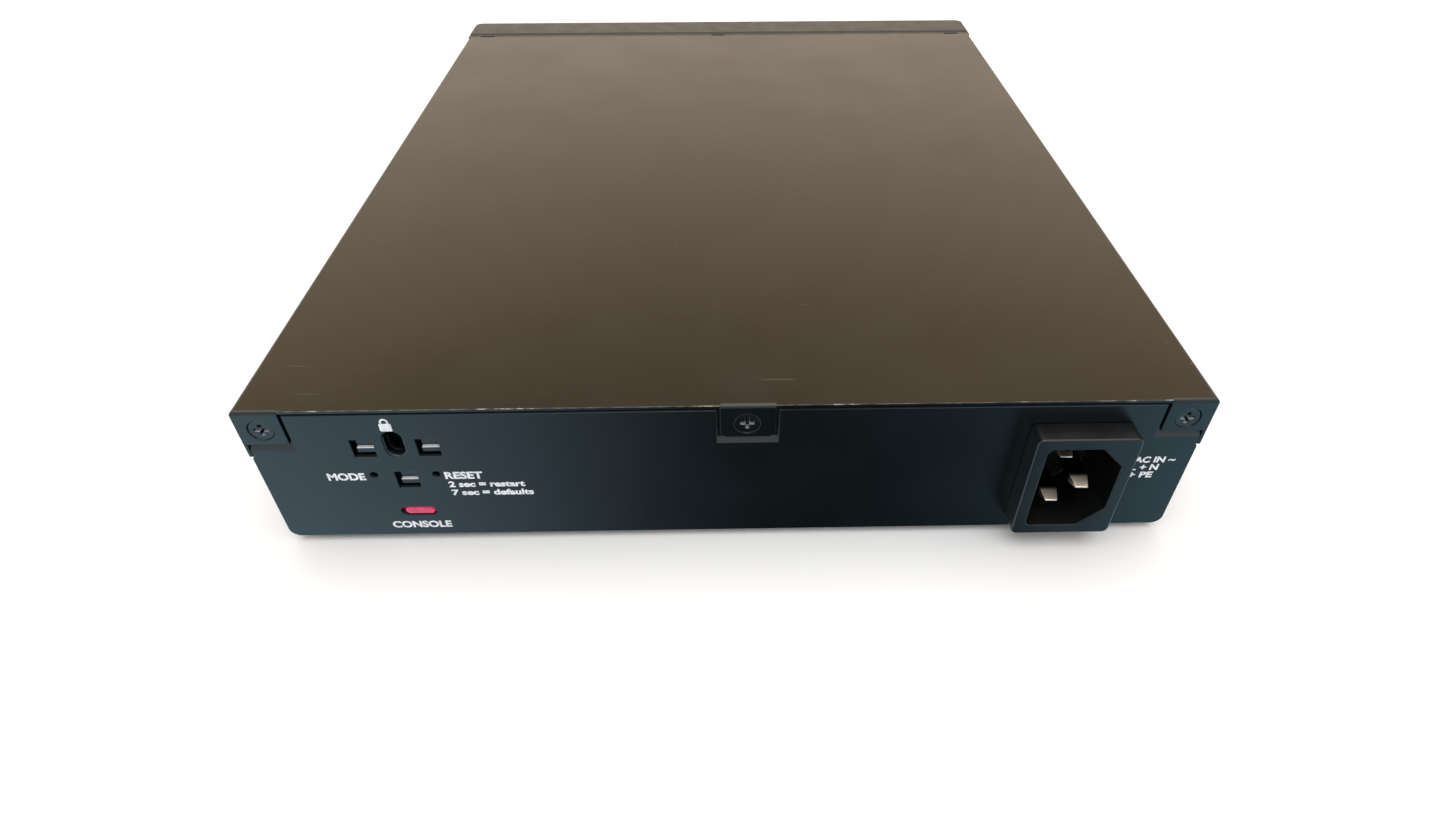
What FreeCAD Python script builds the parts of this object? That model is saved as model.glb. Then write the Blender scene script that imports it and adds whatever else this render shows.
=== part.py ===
import FreeCAD, Part
import math
import os

from FreeCAD import Placement, Rotation, Vector

# Half-rack gigabit switch with a built-in mains supply, in millimetres.
# +Z is up, -Y is the rear with the mains inlet, +Y is the front with the network ports.
# The origin is under the middle of the bounding box, on the plane that the feet stand on.

# Envelope
COVER_WIDTH = 209.5
PAN_WIDTH = 208.7
BEZEL_WIDTH = 210.5
CHASSIS_HEIGHT = 39.4
CHASSIS_DEPTH = 254.0
SEAM_DEPTH = 236.0
FOOT_HEIGHT = 2.0
INLET_PROUD = 5.6

REAR = (INLET_PROUD - CHASSIS_DEPTH) / 2
FRONT = REAR + CHASSIS_DEPTH
SEAM = REAR + SEAM_DEPTH
FLOOR = FOOT_HEIGHT
TOP = FLOOR + CHASSIS_HEIGHT

# Sheet metal
PAN_SHEET = 1.0
COVER_SHEET = 0.8
PAN_CORNER = 2.5
FOLD = 1.0
EDGE_BREAK = 0.5
RIM_BREAK = 0.3
FIT_GAP = 0.05
SEAM_GAP = 0.6
REACH = 5.0
FLANGE_BOTTOM = FLOOR + 26.4
JOGGLE = 0.45
JOGGLE_RISE = 0.8
PANEL_TOP = TOP - COVER_SHEET - 0.5
WALL_TOP = TOP - COVER_SHEET - FIT_GAP
REAR_INSIDE = REAR + PAN_SHEET
FLOOR_INSIDE = FLOOR + PAN_SHEET

# Tabs of the cover at the rear: side to side span, lower end, and corner radius
TAB_LEFT = (-COVER_WIDTH / 2, -94.8, FLOOR + 30.0)
TAB_CENTRE = (-1.75, 10.25, FLOOR + 30.5)
TAB_RIGHT = (94.6, COVER_WIDTH / 2, FLOOR + 30.5)
TAB_CORNER = 1.6
TAB_GAP = 0.7
TAB_STEP = 1.5
TAB_RECESS = COVER_SHEET + FIT_GAP
COVER_SETBACK = 0.1

# Cover screws: M3 countersunk
COVER_SCREW_SPOTS = ((-99.6, FLOOR + 34.1), (4.1, FLOOR + 34.3), (99.4, FLOOR + 34.1))
SCREW_HEAD_R = 2.75
SCREW_SHANK_R = 1.45
SCREW_HOLE_R = 1.55
SCREW_SINK = 0.25
SCREW_LENGTH = 7.0
DIMPLE_R = 3.4
SCREW_CROSS = 3.0
SCREW_CROSS_WIDTH = 0.75
SCREW_CROSS_DEPTH = 1.1
NUT_R = 2.6
NUT_LENGTH = 2.2

# Rear panel cut-outs: centre across, centre height, width, height
LOCK_SLOT = (-72.5, FLOOR + 29.6, 3.8, 7.0)
LOCK_RIM = 0.55
WINDOWS = (
    (-79.5, FLOOR + 28.4, 4.9, 5.2),
    (-65.35, FLOOR + 28.4, 4.9, 5.2),
    (-72.2, FLOOR + 18.55, 4.9, 5.2),
)
PINHOLES = {"mode": (-79.3, FLOOR + 20.25), "reset": (-65.4, FLOOR + 20.25)}
PINHOLE_R = 0.9
CONSOLE = (-72.1, FLOOR + 8.2)
CONSOLE_CUT = (8.2, 2.8)

# Mains inlet
INLET = (77.05, FLOOR + 18.4)
INLET_FLANGE = (22.8, 29.8)
INLET_ROUND = 1.5
INLET_BODY = (19.6, 26.8)
INLET_DEPTH = 17.0
CAVITY = (17.2, 24.1)
CAVITY_DEPTH = 16.0
CAVITY_CHAMFER = 5.5
CAVITY_ROUND = 1.6
LIVE_PIN_SHIFT = -2.7
EARTH_PIN_SHIFT = 1.7
LIVE_PIN_PITCH = 14.0
PIN_SIZE = (4.0, 2.0)
PIN_TIP = 0.55
LIVE_PIN_INSET = 3.0
EARTH_PIN_INSET = 0.4
TERMINAL_LENGTH = 7.0

# Lock plate and the moulded clip behind the panel
PLATE_X = (-85.5, -60.0)
PLATE_Z = (FLOOR + 14.0, FLOOR + 35.0)
PLATE_Y = (REAR_INSIDE + FIT_GAP, REAR_INSIDE + FIT_GAP + 1.0)
CLIP_Y = (REAR_INSIDE + 1.15, REAR_INSIDE + 2.35)
WINDOW_MARGIN = 0.6
HOOK_GAP_SIDE = 0.95
HOOK_GAP_BELOW = 1.2
HOOK_GAP_ABOVE = 0.25
HOOK_LEDGE = 1.5
HOOK_RELIEF = 0.55
HOOK_FACE = 0.3
HOOK_BACK_STEP = 0.5
CLIP_BUTTON_R = 2.6
PLATE_PIN_R = 1.3

# Side vents and the threaded inserts for the rack ears
VENT_COUNT = 16
VENT_PITCH = 7.0
VENT_WIDTH = 3.0
VENT_Z = (FLOOR + 6.0, FLOOR + 22.0)
VENT_START = -70.0
EAR_COLUMNS = (76.0, 98.0)
EAR_ROWS = (FLOOR + 7.0, FLOOR + 21.0)
EAR_BORE_R = 1.65
EAR_SHANK_R = 2.7
EAR_HEAD_R = 3.4
EAR_HEAD = 2.4

# Front section of the pan and the bezel
BEZEL_WALL = 2.0
BEZEL_FACE = 2.4
BEZEL_ROUND = 3.0
BEZEL_BACK_LIP = 4.0
BEZEL_LIP_DROP = 0.35
BEZEL_SLOT = (5.4, 1.6)
BEZEL_SLOT_X = (-97.4, -0.7, 97.4)
NOSE_GAP = 0.15
NOSE_HALF = PAN_WIDTH / 2 - PAN_CORNER + PAN_SHEET
NOSE_TOP = TOP - BEZEL_WALL - NOSE_GAP
NOSE_FRONT = FRONT - BEZEL_FACE - NOSE_GAP
GRILLE_X = (50.0, 92.0)
GRILLE_COUNT = 8
GRILLE_SLOT = (2.4, 14.0)
GRILLE_Z = FLOOR + 14.0

# Boards
BOARD = 1.6
MAIN_TOP = FLOOR + 6.5
MAIN_BOTTOM = MAIN_TOP - BOARD
BOARD_SIDE = 100.0
BOARD_REAR = REAR + 3.6
BOARD_FRONT = NOSE_FRONT - PAN_SHEET - 1.2
MAIN_NECK_X = 16.0
MAIN_STEP_Y = -14.0
MAIN_SPOTS = ((-94, -114), (8, -112), (-94, -20), (8, -20), (-94, 78), (94, 96), (94, -6))
PSU_X = (24.0, 99.0)
PSU_Y = (-104.0, -20.0)
PSU_TOP = FLOOR + 8.6
PSU_SPOTS = ((28, -100), (95, -100), (28, -24), (95, -24))
STANDOFF_R = 2.6
BOARD_SCREW_R = 1.4
BOARD_HEAD_R = 2.6
BOARD_HEAD = 1.6

# Network ports
PORT_PITCH = 13.97
PORT_ROWS = (FLOOR + 14.6, FLOOR + 27.0)
PORT_OPENING = (11.9, 8.2)
PORT_TAB = (6.2, 1.7)
PORT_TAB_SLOT = (3.4, 1.2)
PORT_DEPTH = 14.0
BLOCK_DEPTH = 25.0
BLOCK_MARGIN = 1.6
BLOCK_TOP = FLOOR + 34.2
BLOCK_FRONT = FRONT - 0.8
SHIELD = 0.3
DOWNLINK_X = -67.5
DOWNLINK_COLUMNS = 4
UPLINK_X = -24.0
UPLINK_COLUMNS = 1
CONTACTS = 8
CONTACT_PITCH = 1.02
CONTACT_SIZE = (0.4, 6.5, 0.3)
CONTACT_LIFT = 2.6
CONTACT_SLANT = 16.0
CUT_GAP = 0.35

# Pluggable optics
CAGE_X = (0.0, 19.0)
CAGE_SIZE = (14.2, 47.0, 9.8)
CAGE_WALL = 0.4
CAGE_FRONT = FRONT - 0.4
EDGE_CONNECTOR = (11.4, 9.0, 6.2)
EDGE_SLOT = 1.4

# Indicator light pipes
PIPE_R = 1.0
PORT_PIPE_Z = FLOOR + 36.0
PORT_PIPE_SHIFT = PORT_PITCH / 4
PORT_PIPE_BACK = BLOCK_FRONT - BLOCK_DEPTH - 3.0
STATUS_PIPES = ((40.0, FLOOR + 30.0), (40.0, FLOOR + 24.0), (40.0, FLOOR + 18.0))
STATUS_BACK = FRONT - 16.0

# Buttons behind the pinholes
RISER_X = (-86.0, -60.0)
RISER_Y = (REAR + 9.6, REAR + 10.8)
RISER_Z = (MAIN_TOP + 0.1, FLOOR + 24.0)
SWITCH_SIDE = 6.0
SWITCH_BODY = 3.6
PLUNGER_R = 1.75
PLUNGER_GAP = 0.05
PLUNGER_OUT = 1.5
PLUNGER_IN = 1.1
PLUNGER_ROOM = 0.45

# Console socket
SHELL_OUT = (8.94, 3.16)
SHELL_IN = (8.34, 2.56)
SHELL_Y = (REAR_INSIDE + FIT_GAP, REAR + 7.9)
SHELL_BACK = 0.5
TONGUE = (6.7, 0.7)
TONGUE_START = REAR + 2.4
PLUG_HEAD = (7.1, 2.4)
PLUG_HEAD_SHIFT = 0.25
PLUG_BODY = (8.0, 2.36)
PLUG_FACE = REAR + 0.1
PLUG_STEP = REAR_INSIDE + 0.3
PLUG_LENGTH = 5.8
PLUG_SLOT_GAP = 0.1

# Feet
FOOT_SPOTS = ((-88, -106), (88, -106), (-88, 100), (88, 100))
FOOT_R = 6.0
FOOT_RIM = 0.6

# Supply and main board components: (x, y) and (width, depth, height)
TRANSFORMER_AT = (64.0, -56.0)
TRANSFORMER_CORE = (30.0, 12.0, 25.0)
TRANSFORMER_COIL = (21.0, 26.0, 17.0)
COIL_ROUND = 3.0
TRANSFORMER_WINDOW = (10.2, 3.0)
BULK_CAPS = ((88.0, -66.0), (88.0, -45.0))
BULK_CAP = (9.0, 24.0)
OUTPUT_CAPS = ((38.0, -36.0), (50.0, -36.0), (62.0, -36.0))
OUTPUT_CAP = (5.0, 20.0)
CHOKE_AT = (60.0, -90.0)
CHOKE_RING = (8.0, 3.6)
X_CAP_AT = (40.0, -92.0)
X_CAP = (15.0, 7.5, 13.0)
FUSE_AT = (82.0, -92.0)
FUSE = (3.2, 18.0)
FUSE_CLIP = 2.0
FUSE_LIFT = 4.5
HEATSINK_PLATES = ((32.0, -68.0), (42.0, -58.0))
HEATSINK_PLATE = (2.5, 34.0, 24.0)
TRANSISTOR = (4.6, 10.0, 15.0)
TRANSISTOR_LIFT = 3.0
DC_HEADER_AT = (42.0, -25.5)
DC_HEADER = (16.0, 6.0, 9.0)
DC_SOCKET_AT = (42.0, -2.0)
DC_WIRES = 4
DC_WIRE_R = 0.75
DC_WIRE_PITCH = 3.0
DC_WIRE_ARC = 4.0
DC_WIRE_RISE = 6.0
LEAD_R = 0.9
LEAD_RUN = 2.0
LEAD_BEND = 2.2
INSULATOR = 0.4
SWITCH_CHIP_AT = (-30.0, 30.0)
SWITCH_CHIP = (25.0, 25.0, 1.6)
PAD_THICKNESS = 0.6
HEATSINK = (42.0, 42.0, 3.0)
FIN_COUNT = 11
FIN = (1.2, 15.0)
CPU_AT = (-62.0, -40.0)
CPU = (17.0, 17.0, 1.4)
MEMORY_SPOTS = ((-42.0, -32.0), (-42.0, -48.0))
MEMORY = (9.0, 13.0, 1.1)
FLASH_AT = (-66.0, -66.0)
FLASH = (8.0, 5.2, 1.8)
MAGNETICS_COUNT = 5
MAGNETICS_FIRST = (-88.0, 88.0)
MAGNETICS_PITCH = 17.0
MAGNETICS = (13.0, 9.0, 5.5)
INDUCTOR_SPOTS = ((-16.0, -40.0), (-4.0, -40.0), (-16.0, -54.0), (-4.0, -54.0))
INDUCTOR = (7.0, 7.0, 4.0)
POLYMER_SPOTS = ((-16.0, -70.0), (-7.0, -70.0), (2.0, -70.0))
POLYMER = (3.2, 7.0)


def block(x, y, z):
    """Box between the low and high ends of three spans."""
    return Part.makeBox(x[1] - x[0], y[1] - y[0], z[1] - z[0], Vector(x[0], y[0], z[0]))


def span(centre, size):
    """Low and high ends of a length about its middle."""
    return (centre - size / 2, centre + size / 2)


def grown(ends, amount):
    """A span with both ends moved outwards."""
    return (ends[0] - amount, ends[1] + amount)


def standing(at, size, base):
    """Box of a width, depth and height on a level base."""
    return block(span(at[0], size[0]), span(at[1], size[1]), (base, base + size[2]))


def can(at, radius, height, base):
    """Upright cylinder."""
    return Part.makeCylinder(radius, height, Vector(at[0], at[1], base))


def rod_y(x, z, radius, y):
    """Cylinder along Y between two ends."""
    return Part.makeCylinder(radius, y[1] - y[0], Vector(x, y[0], z), Vector(0, 1, 0))


def rod_x(y, z, radius, x):
    """Cylinder along X between two ends."""
    return Part.makeCylinder(radius, x[1] - x[0], Vector(x[0], y, z), Vector(1, 0, 0))


def prism(points, direction):
    """Straight-sided solid swept from a closed outline."""
    outline = Part.makePolygon(points + points[:1])
    return Part.Face(outline).extrude(direction)


def edges_where(shape, test):
    """Edges whose every end point passes a test."""
    return [edge for edge in shape.Edges if all(test(vertex.Point) for vertex in edge.Vertexes)]


def near(a, b):
    """Whether two lengths are equal within a micrometre."""
    return abs(a - b) < 1e-3


def rounded_along(shape, axis, radius):
    """A box-like solid with the edges that run along one axis rounded."""
    picked = []
    for edge in shape.Edges:
        run = edge.Vertexes[-1].Point - edge.Vertexes[0].Point
        across = [abs(v) for i, v in enumerate(run) if i != axis]
        if max(across) < 1e-6 and abs(run[axis]) > 0:
            picked.append(edge)
    return shape.makeFillet(radius, picked)


def rounded_block(x, y, z, axis, radius):
    """Box with the edges along one axis rounded."""
    return rounded_along(block(x, y, z), axis, radius)


def pill(x, z, width, height, y):
    """Bar along Y with an outline of two half circles joined by straights."""
    radius = min(width, height) / 2
    along_x = max(0.0, (width - height) / 2)
    along_z = max(0.0, (height - width) / 2)
    middle = block(grown((x, x), along_x or radius), y, grown((z, z), along_z or radius))
    ends = [
        rod_y(x - along_x, z - along_z, radius, y),
        rod_y(x + along_x, z + along_z, radius, y),
    ]
    return middle.multiFuse(ends).removeSplitter()


def beyond(y_low, y_high):
    """A span carried past both ends, for cutting right through."""
    return (y_low - REACH, y_high + REACH)


def group(solids):
    """Several separate solids kept as one node."""
    return Part.makeCompound(solids)


def pan_outline(inset, top):
    """Cross-section points of the pan, with its upper walls stepped in under the cover."""
    half = PAN_WIDTH / 2 - inset
    upper = half - JOGGLE
    low = FLOOR + inset
    bend = FLANGE_BOTTOM - JOGGLE_RISE
    right = [(half, low), (half, bend), (upper, bend + JOGGLE_RISE), (upper, top)]
    left = [(-x, z) for x, z in reversed(right)]
    return right + left


def pan_solid(inset, y, top, corner):
    """Filled pan section between two depths, with its floor edges rounded."""
    points = [Vector(x, y[0], z) for x, z in pan_outline(inset, top)]
    solid = prism(points, Vector(0, y[1] - y[0], 0))
    low = FLOOR + inset
    floor_edges = edges_where(solid, lambda p: near(p.z, low) and near(abs(p.x), PAN_WIDTH / 2 - inset))
    along = [edge for edge in floor_edges if edge.Length > corner and near(edge.BoundBox.XLength, 0)]
    return solid.makeFillet(corner, along)


def recess(tab, depth, margin):
    """Pressed pocket for one cover tab, with a sloping lower step."""
    low = tab[2] - TAB_GAP / 2
    points = [
        Vector(tab[0] - margin, REAR - REACH, low - TAB_STEP),
        Vector(tab[0] - margin, REAR + depth - TAB_RECESS, low - TAB_STEP),
        Vector(tab[0] - margin, REAR + depth, low),
        Vector(tab[0] - margin, REAR + depth, TOP),
        Vector(tab[0] - margin, REAR - REACH, TOP),
    ]
    return prism(points, Vector(tab[1] - tab[0] + 2 * margin, 0, 0))


def screw_sink(spot):
    """Countersunk hole of one cover screw, through the tab and the panel."""
    x, z = spot
    face = REAR + SCREW_SINK
    depth = SCREW_HEAD_R - SCREW_HOLE_R
    cone = Part.makeCone(
        SCREW_HEAD_R + FIT_GAP, SCREW_HOLE_R, depth + FIT_GAP, Vector(x, face, z), Vector(0, 1, 0)
    )
    mouth = rod_y(x, z, SCREW_HEAD_R + FIT_GAP, (REAR - REACH, face))
    hole = rod_y(x, z, SCREW_HOLE_R, (REAR, REAR + SCREW_LENGTH))
    return cone.multiFuse([mouth, hole])


def screw_dimples():
    """Metal pressed inwards round each cover screw, behind the pocket floor."""
    depth = (REAR_INSIDE, REAR_INSIDE + SCREW_SINK + SCREW_HEAD_R - SCREW_SHANK_R)
    return [rod_y(x, z, DIMPLE_R, depth) for x, z in COVER_SCREW_SPOTS]


def ear_spots():
    """Depth and height of each threaded insert on one side."""
    return [(y, z) for y in EAR_COLUMNS for z in EAR_ROWS]


def side_cuts():
    """Vent slots and insert holes through both side walls."""
    cuts = []
    wall = (PAN_WIDTH / 2 - PAN_SHEET - REACH, PAN_WIDTH / 2 + REACH)
    for side in (-1, 1):
        x = tuple(sorted(side * end for end in wall))
        for i in range(VENT_COUNT):
            y = VENT_START + i * VENT_PITCH
            radius = VENT_WIDTH / 2
            slot = block(x, span(y, VENT_WIDTH), grown(VENT_Z, -radius))
            ends = [rod_x(y, VENT_Z[0] + radius, radius, x), rod_x(y, VENT_Z[1] - radius, radius, x)]
            cuts.append(slot.multiFuse(ends).removeSplitter())
        cuts += [rod_x(y, z, EAR_SHANK_R + FIT_GAP / 2, x) for y, z in ear_spots()]
    return cuts


def rear_cuts():
    """Openings of the rear panel."""
    y = beyond(REAR, REAR_INSIDE)
    cuts = [screw_sink(spot) for spot in COVER_SCREW_SPOTS]
    cuts.append(pill(*LOCK_SLOT, y))
    cuts += [block(span(x, w), y, span(z, h)) for x, z, w, h in WINDOWS]
    cuts += [rod_y(x, z, PINHOLE_R, y) for x, z in PINHOLES.values()]
    cuts.append(pill(*CONSOLE, *CONSOLE_CUT, y))
    inlet_x = span(INLET[0], INLET_BODY[0] + 2 * FIT_GAP)
    inlet_z = span(INLET[1], INLET_BODY[1] + 2 * FIT_GAP)
    cuts.append(block(inlet_x, y, inlet_z))
    return cuts


def port_cut(centre_x, columns, gap, y):
    """Rectangular hole for a port block."""
    half = columns * PORT_PITCH / 2 + BLOCK_MARGIN / 2 + gap
    return block((centre_x - half, centre_x + half), y, (MAIN_TOP - gap, BLOCK_TOP + gap))


def front_cuts(y, gap):
    """Holes for the ports, cages and light pipes, shared by the pan's nose and the bezel."""
    cuts = [
        port_cut(DOWNLINK_X, DOWNLINK_COLUMNS, gap, y),
        port_cut(UPLINK_X, UPLINK_COLUMNS, gap, y),
    ]
    for x in CAGE_X:
        cage_z = (MAIN_TOP - gap, MAIN_TOP + CAGE_SIZE[2] + gap)
        cuts.append(block(grown(span(x, CAGE_SIZE[0]), gap), y, cage_z))
    cuts += [rod_y(x, z, PIPE_R + FIT_GAP, y) for x, z in port_pipe_spots()]
    cuts += [rod_y(x, z, PIPE_R + FIT_GAP, y) for x, z in STATUS_PIPES]
    return cuts


def grille_cuts(y):
    """Row of upright air slots at the inlet side of the front."""
    pitch = (GRILLE_X[1] - GRILLE_X[0]) / (GRILLE_COUNT - 1)
    slots = []
    for i in range(GRILLE_COUNT):
        x = GRILLE_X[0] + i * pitch
        slots.append(pill(x, GRILLE_Z, *GRILLE_SLOT, y))
    return slots


def chassis_base():
    """Folded steel pan: floor, rear panel, side walls and front wall."""
    rear_part = pan_solid(0, (REAR, SEAM - SEAM_GAP), WALL_TOP, PAN_CORNER)
    rear_rim = edges_where(rear_part, lambda p: near(p.y, REAR) and p.z < FLANGE_BOTTOM - JOGGLE)
    rear_part = rear_part.makeFillet(RIM_BREAK, rear_rim)
    nose = block((-NOSE_HALF, NOSE_HALF), (SEAM - SEAM_GAP, NOSE_FRONT), (FLOOR, NOSE_TOP))
    pan = rear_part.fuse(nose)
    room = pan_solid(
        PAN_SHEET, (REAR_INSIDE, SEAM - SEAM_GAP - PAN_SHEET), TOP + REACH, PAN_CORNER - PAN_SHEET
    )
    nose_x = (PAN_SHEET - NOSE_HALF, NOSE_HALF - PAN_SHEET)
    nose_y = (SEAM - SEAM_GAP - PAN_SHEET, NOSE_FRONT - PAN_SHEET)
    nose_room = block(nose_x, nose_y, (FLOOR_INSIDE, TOP + REACH))
    pan = pan.cut(room.fuse(nose_room))
    above_panel = (-PAN_WIDTH, PAN_WIDTH), (REAR - REACH, REAR_INSIDE), (PANEL_TOP, TOP + REACH)
    pan = pan.cut(block(*above_panel))
    limit = block(
        grown((-PAN_WIDTH / 2, PAN_WIDTH / 2), -JOGGLE), (REAR, REAR + REACH), (FLOOR, PANEL_TOP)
    )
    tabs = (TAB_LEFT, TAB_CENTRE, TAB_RIGHT)
    backs = [recess(tab, TAB_RECESS + PAN_SHEET, TAB_GAP + PAN_SHEET).common(limit) for tab in tabs]
    pan = pan.multiFuse(backs + [dimple.common(limit) for dimple in screw_dimples()])
    cuts = [recess(tab, TAB_RECESS, TAB_GAP) for tab in tabs]
    cuts += rear_cuts() + side_cuts()
    wall_y = beyond(NOSE_FRONT - PAN_SHEET, NOSE_FRONT)
    cuts += front_cuts(wall_y, CUT_GAP) + grille_cuts(wall_y)
    for cutter in cuts:
        pan = pan.cut(cutter)
    slot_x = grown(span(LOCK_SLOT[0], LOCK_SLOT[2]), FIT_GAP)
    slot_z = grown(span(LOCK_SLOT[1], LOCK_SLOT[3]), FIT_GAP)
    rim = edges_where(pan, lambda p: near(p.y, REAR) and slot_x[0] < p.x < slot_x[1])
    return pan.makeFillet(LOCK_RIM, [edge for edge in rim if slot_z[0] < edge.CenterOfMass.z < slot_z[1]])


def top_cover():
    """Folded steel cover with short side flanges and three rear tabs."""
    half = COVER_WIDTH / 2
    solid = block((-half, half), (REAR, SEAM - SEAM_GAP / 2), (FLANGE_BOTTOM, TOP))
    folds = edges_where(solid, lambda p: near(p.z, TOP) and p.y < SEAM + REACH)
    folds = [edge for edge in folds if not near(edge.CenterOfMass.y, SEAM - SEAM_GAP / 2)]
    solid = solid.makeFillet(FOLD, folds)
    inner_half = half - COVER_SHEET
    room = block(
        (-inner_half, inner_half),
        (REAR + COVER_SHEET, SEAM + REACH),
        (FLANGE_BOTTOM - REACH, TOP - COVER_SHEET),
    )
    cover = solid.cut(room)
    depth = (REAR - REACH, REAR + COVER_SHEET)
    for low, high in ((TAB_LEFT[1], TAB_CENTRE[0]), (TAB_CENTRE[1], TAB_RIGHT[0])):
        between = (low, high), (REAR - REACH, REAR + FOLD), (FLANGE_BOTTOM - REACH, TOP + REACH)
        cover = cover.cut(block(*between))
        lip = block((low, high), (REAR + COVER_SETBACK, REAR + FOLD), (TOP - COVER_SHEET, TOP))
        cover = cover.fuse(lip)
    for tab in (TAB_LEFT, TAB_CENTRE, TAB_RIGHT):
        x = (max(tab[0], -inner_half), min(tab[1], inner_half))
        cover = cover.cut(block(x, depth, (FLANGE_BOTTOM - REACH, tab[2])))
    cover = cover.removeSplitter()
    beside = grown(TAB_CENTRE[:2], FOLD)
    corners = edges_where(cover, lambda p: near(p.z, TAB_CENTRE[2]) and beside[0] < p.x < beside[1])
    corners = [edge for edge in corners if near(edge.BoundBox.XLength, 0)]
    cover = cover.makeFillet(TAB_CORNER, corners)
    for spot in COVER_SCREW_SPOTS:
        cover = cover.cut(screw_sink(spot))
    return cover


def cover_screw(spot):
    """Countersunk screw with a cross recess."""
    x, z = spot
    face = REAR + SCREW_SINK
    head = SCREW_HEAD_R - SCREW_SHANK_R
    cone = Part.makeCone(SCREW_HEAD_R, SCREW_SHANK_R, head, Vector(x, face, z), Vector(0, 1, 0))
    shank = rod_y(x, z, SCREW_SHANK_R, (face + head / 2, face + SCREW_LENGTH))
    screw = cone.fuse(shank)
    depth = (face - REACH, face + SCREW_CROSS_DEPTH)
    bars = (
        block(span(x, SCREW_CROSS), depth, span(z, SCREW_CROSS_WIDTH)),
        block(span(x, SCREW_CROSS_WIDTH), depth, span(z, SCREW_CROSS)),
    )
    return screw.cut(bars[0].fuse(bars[1]))


def cover_screws():
    """The three cover screws."""
    return group([cover_screw(spot) for spot in COVER_SCREW_SPOTS])


def cover_nuts():
    """Press-in nuts behind the panel that the cover screws enter."""
    start = REAR_INSIDE + SCREW_SINK + SCREW_HEAD_R - SCREW_SHANK_R + FIT_GAP
    nuts = []
    for x, z in COVER_SCREW_SPOTS:
        y = (start, start + NUT_LENGTH)
        nuts.append(rod_y(x, z, NUT_R, y).cut(rod_y(x, z, SCREW_SHANK_R + FIT_GAP, beyond(*y))))
    return group(nuts)


def lock_plate():
    """Steel reinforcement behind the lock slot."""
    plate = block(PLATE_X, PLATE_Y, PLATE_Z)
    y = beyond(*PLATE_Y)
    plate = plate.cut(pill(*LOCK_SLOT, y))
    for x, z, w, h in WINDOWS:
        plate = plate.cut(block(grown(span(x, w), WINDOW_MARGIN), y, grown(span(z, h), WINDOW_MARGIN)))
    for x, z in PINHOLES.values():
        plate = plate.cut(rod_y(x, z, PLATE_PIN_R, y))
    return plate


def hook(window):
    """One snap hook that reaches into its panel window: a ledge with a lower step behind it."""
    x, z, w, h = window
    side = (x - w / 2 + HOOK_GAP_SIDE, x + w / 2 - FIT_GAP)
    low = z - h / 2 + HOOK_GAP_BELOW
    high = z + h / 2 - HOOK_GAP_ABOVE
    ledge_top = low + HOOK_LEDGE
    back = CLIP_Y[1]
    ledge = rounded_block(side, (REAR + HOOK_FACE, back), (low, ledge_top), 0, HOOK_FACE)
    step_y = (REAR + HOOK_FACE + HOOK_BACK_STEP, back)
    step = rounded_block(side, step_y, (ledge_top + HOOK_RELIEF, high), 0, HOOK_FACE)
    root = block(side, (REAR_INSIDE, back), (low, high))
    return ledge.multiFuse([step, root])


def slot_clip():
    """Moulded clip frame with three hooks that snap into the panel windows."""
    frame = block(PLATE_X, CLIP_Y, PLATE_Z)
    y = beyond(*CLIP_Y)
    frame = frame.cut(pill(*LOCK_SLOT, y))
    for x, z in PINHOLES.values():
        frame = frame.cut(rod_y(x, z, CLIP_BUTTON_R, y))
    return frame.multiFuse([hook(window) for window in WINDOWS])


def cavity_solid(grow, y):
    """Socket space of the mains inlet: a rectangle with both corners on the earth side cut off."""
    half_w = CAVITY[0] / 2 + grow
    half_h = CAVITY[1] / 2 + grow
    x, z = INLET
    cut = CAVITY_CHAMFER
    points = [
        (x - half_w, z - half_h),
        (x + half_w - cut, z - half_h),
        (x + half_w, z - half_h + cut),
        (x + half_w, z + half_h - cut),
        (x + half_w - cut, z + half_h),
        (x - half_w, z + half_h),
    ]
    solid = prism([Vector(px, y[0], pz) for px, pz in points], Vector(0, y[1] - y[0], 0))
    square = edges_where(solid, lambda p: near(p.x, x - half_w))
    along = [edge for edge in square if near(edge.BoundBox.ZLength, 0)]
    return solid.makeFillet(CAVITY_ROUND, along)


def inlet_pin(shift_x, shift_z, inset):
    """Flat blade with a bevelled tip and a terminal behind the inlet."""
    x = INLET[0] + shift_x
    z = INLET[1] + shift_z
    tip = REAR - INLET_PROUD + inset
    back = REAR - INLET_PROUD + CAVITY_DEPTH
    blade = block(span(x, PIN_SIZE[0]), (tip, back + TERMINAL_LENGTH), span(z, PIN_SIZE[1]))
    tip_edges = edges_where(blade, lambda p: near(p.y, tip))
    return blade.makeChamfer(PIN_TIP, tip_edges)


def inlet_pins():
    """The three blades, by the conductor that each one carries."""
    half = LIVE_PIN_PITCH / 2
    return {
        "inlet_pin_line": inlet_pin(LIVE_PIN_SHIFT, half, LIVE_PIN_INSET),
        "inlet_pin_neutral": inlet_pin(LIVE_PIN_SHIFT, -half, LIVE_PIN_INSET),
        "inlet_pin_earth": inlet_pin(EARTH_PIN_SHIFT, 0, EARTH_PIN_INSET),
    }


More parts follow.
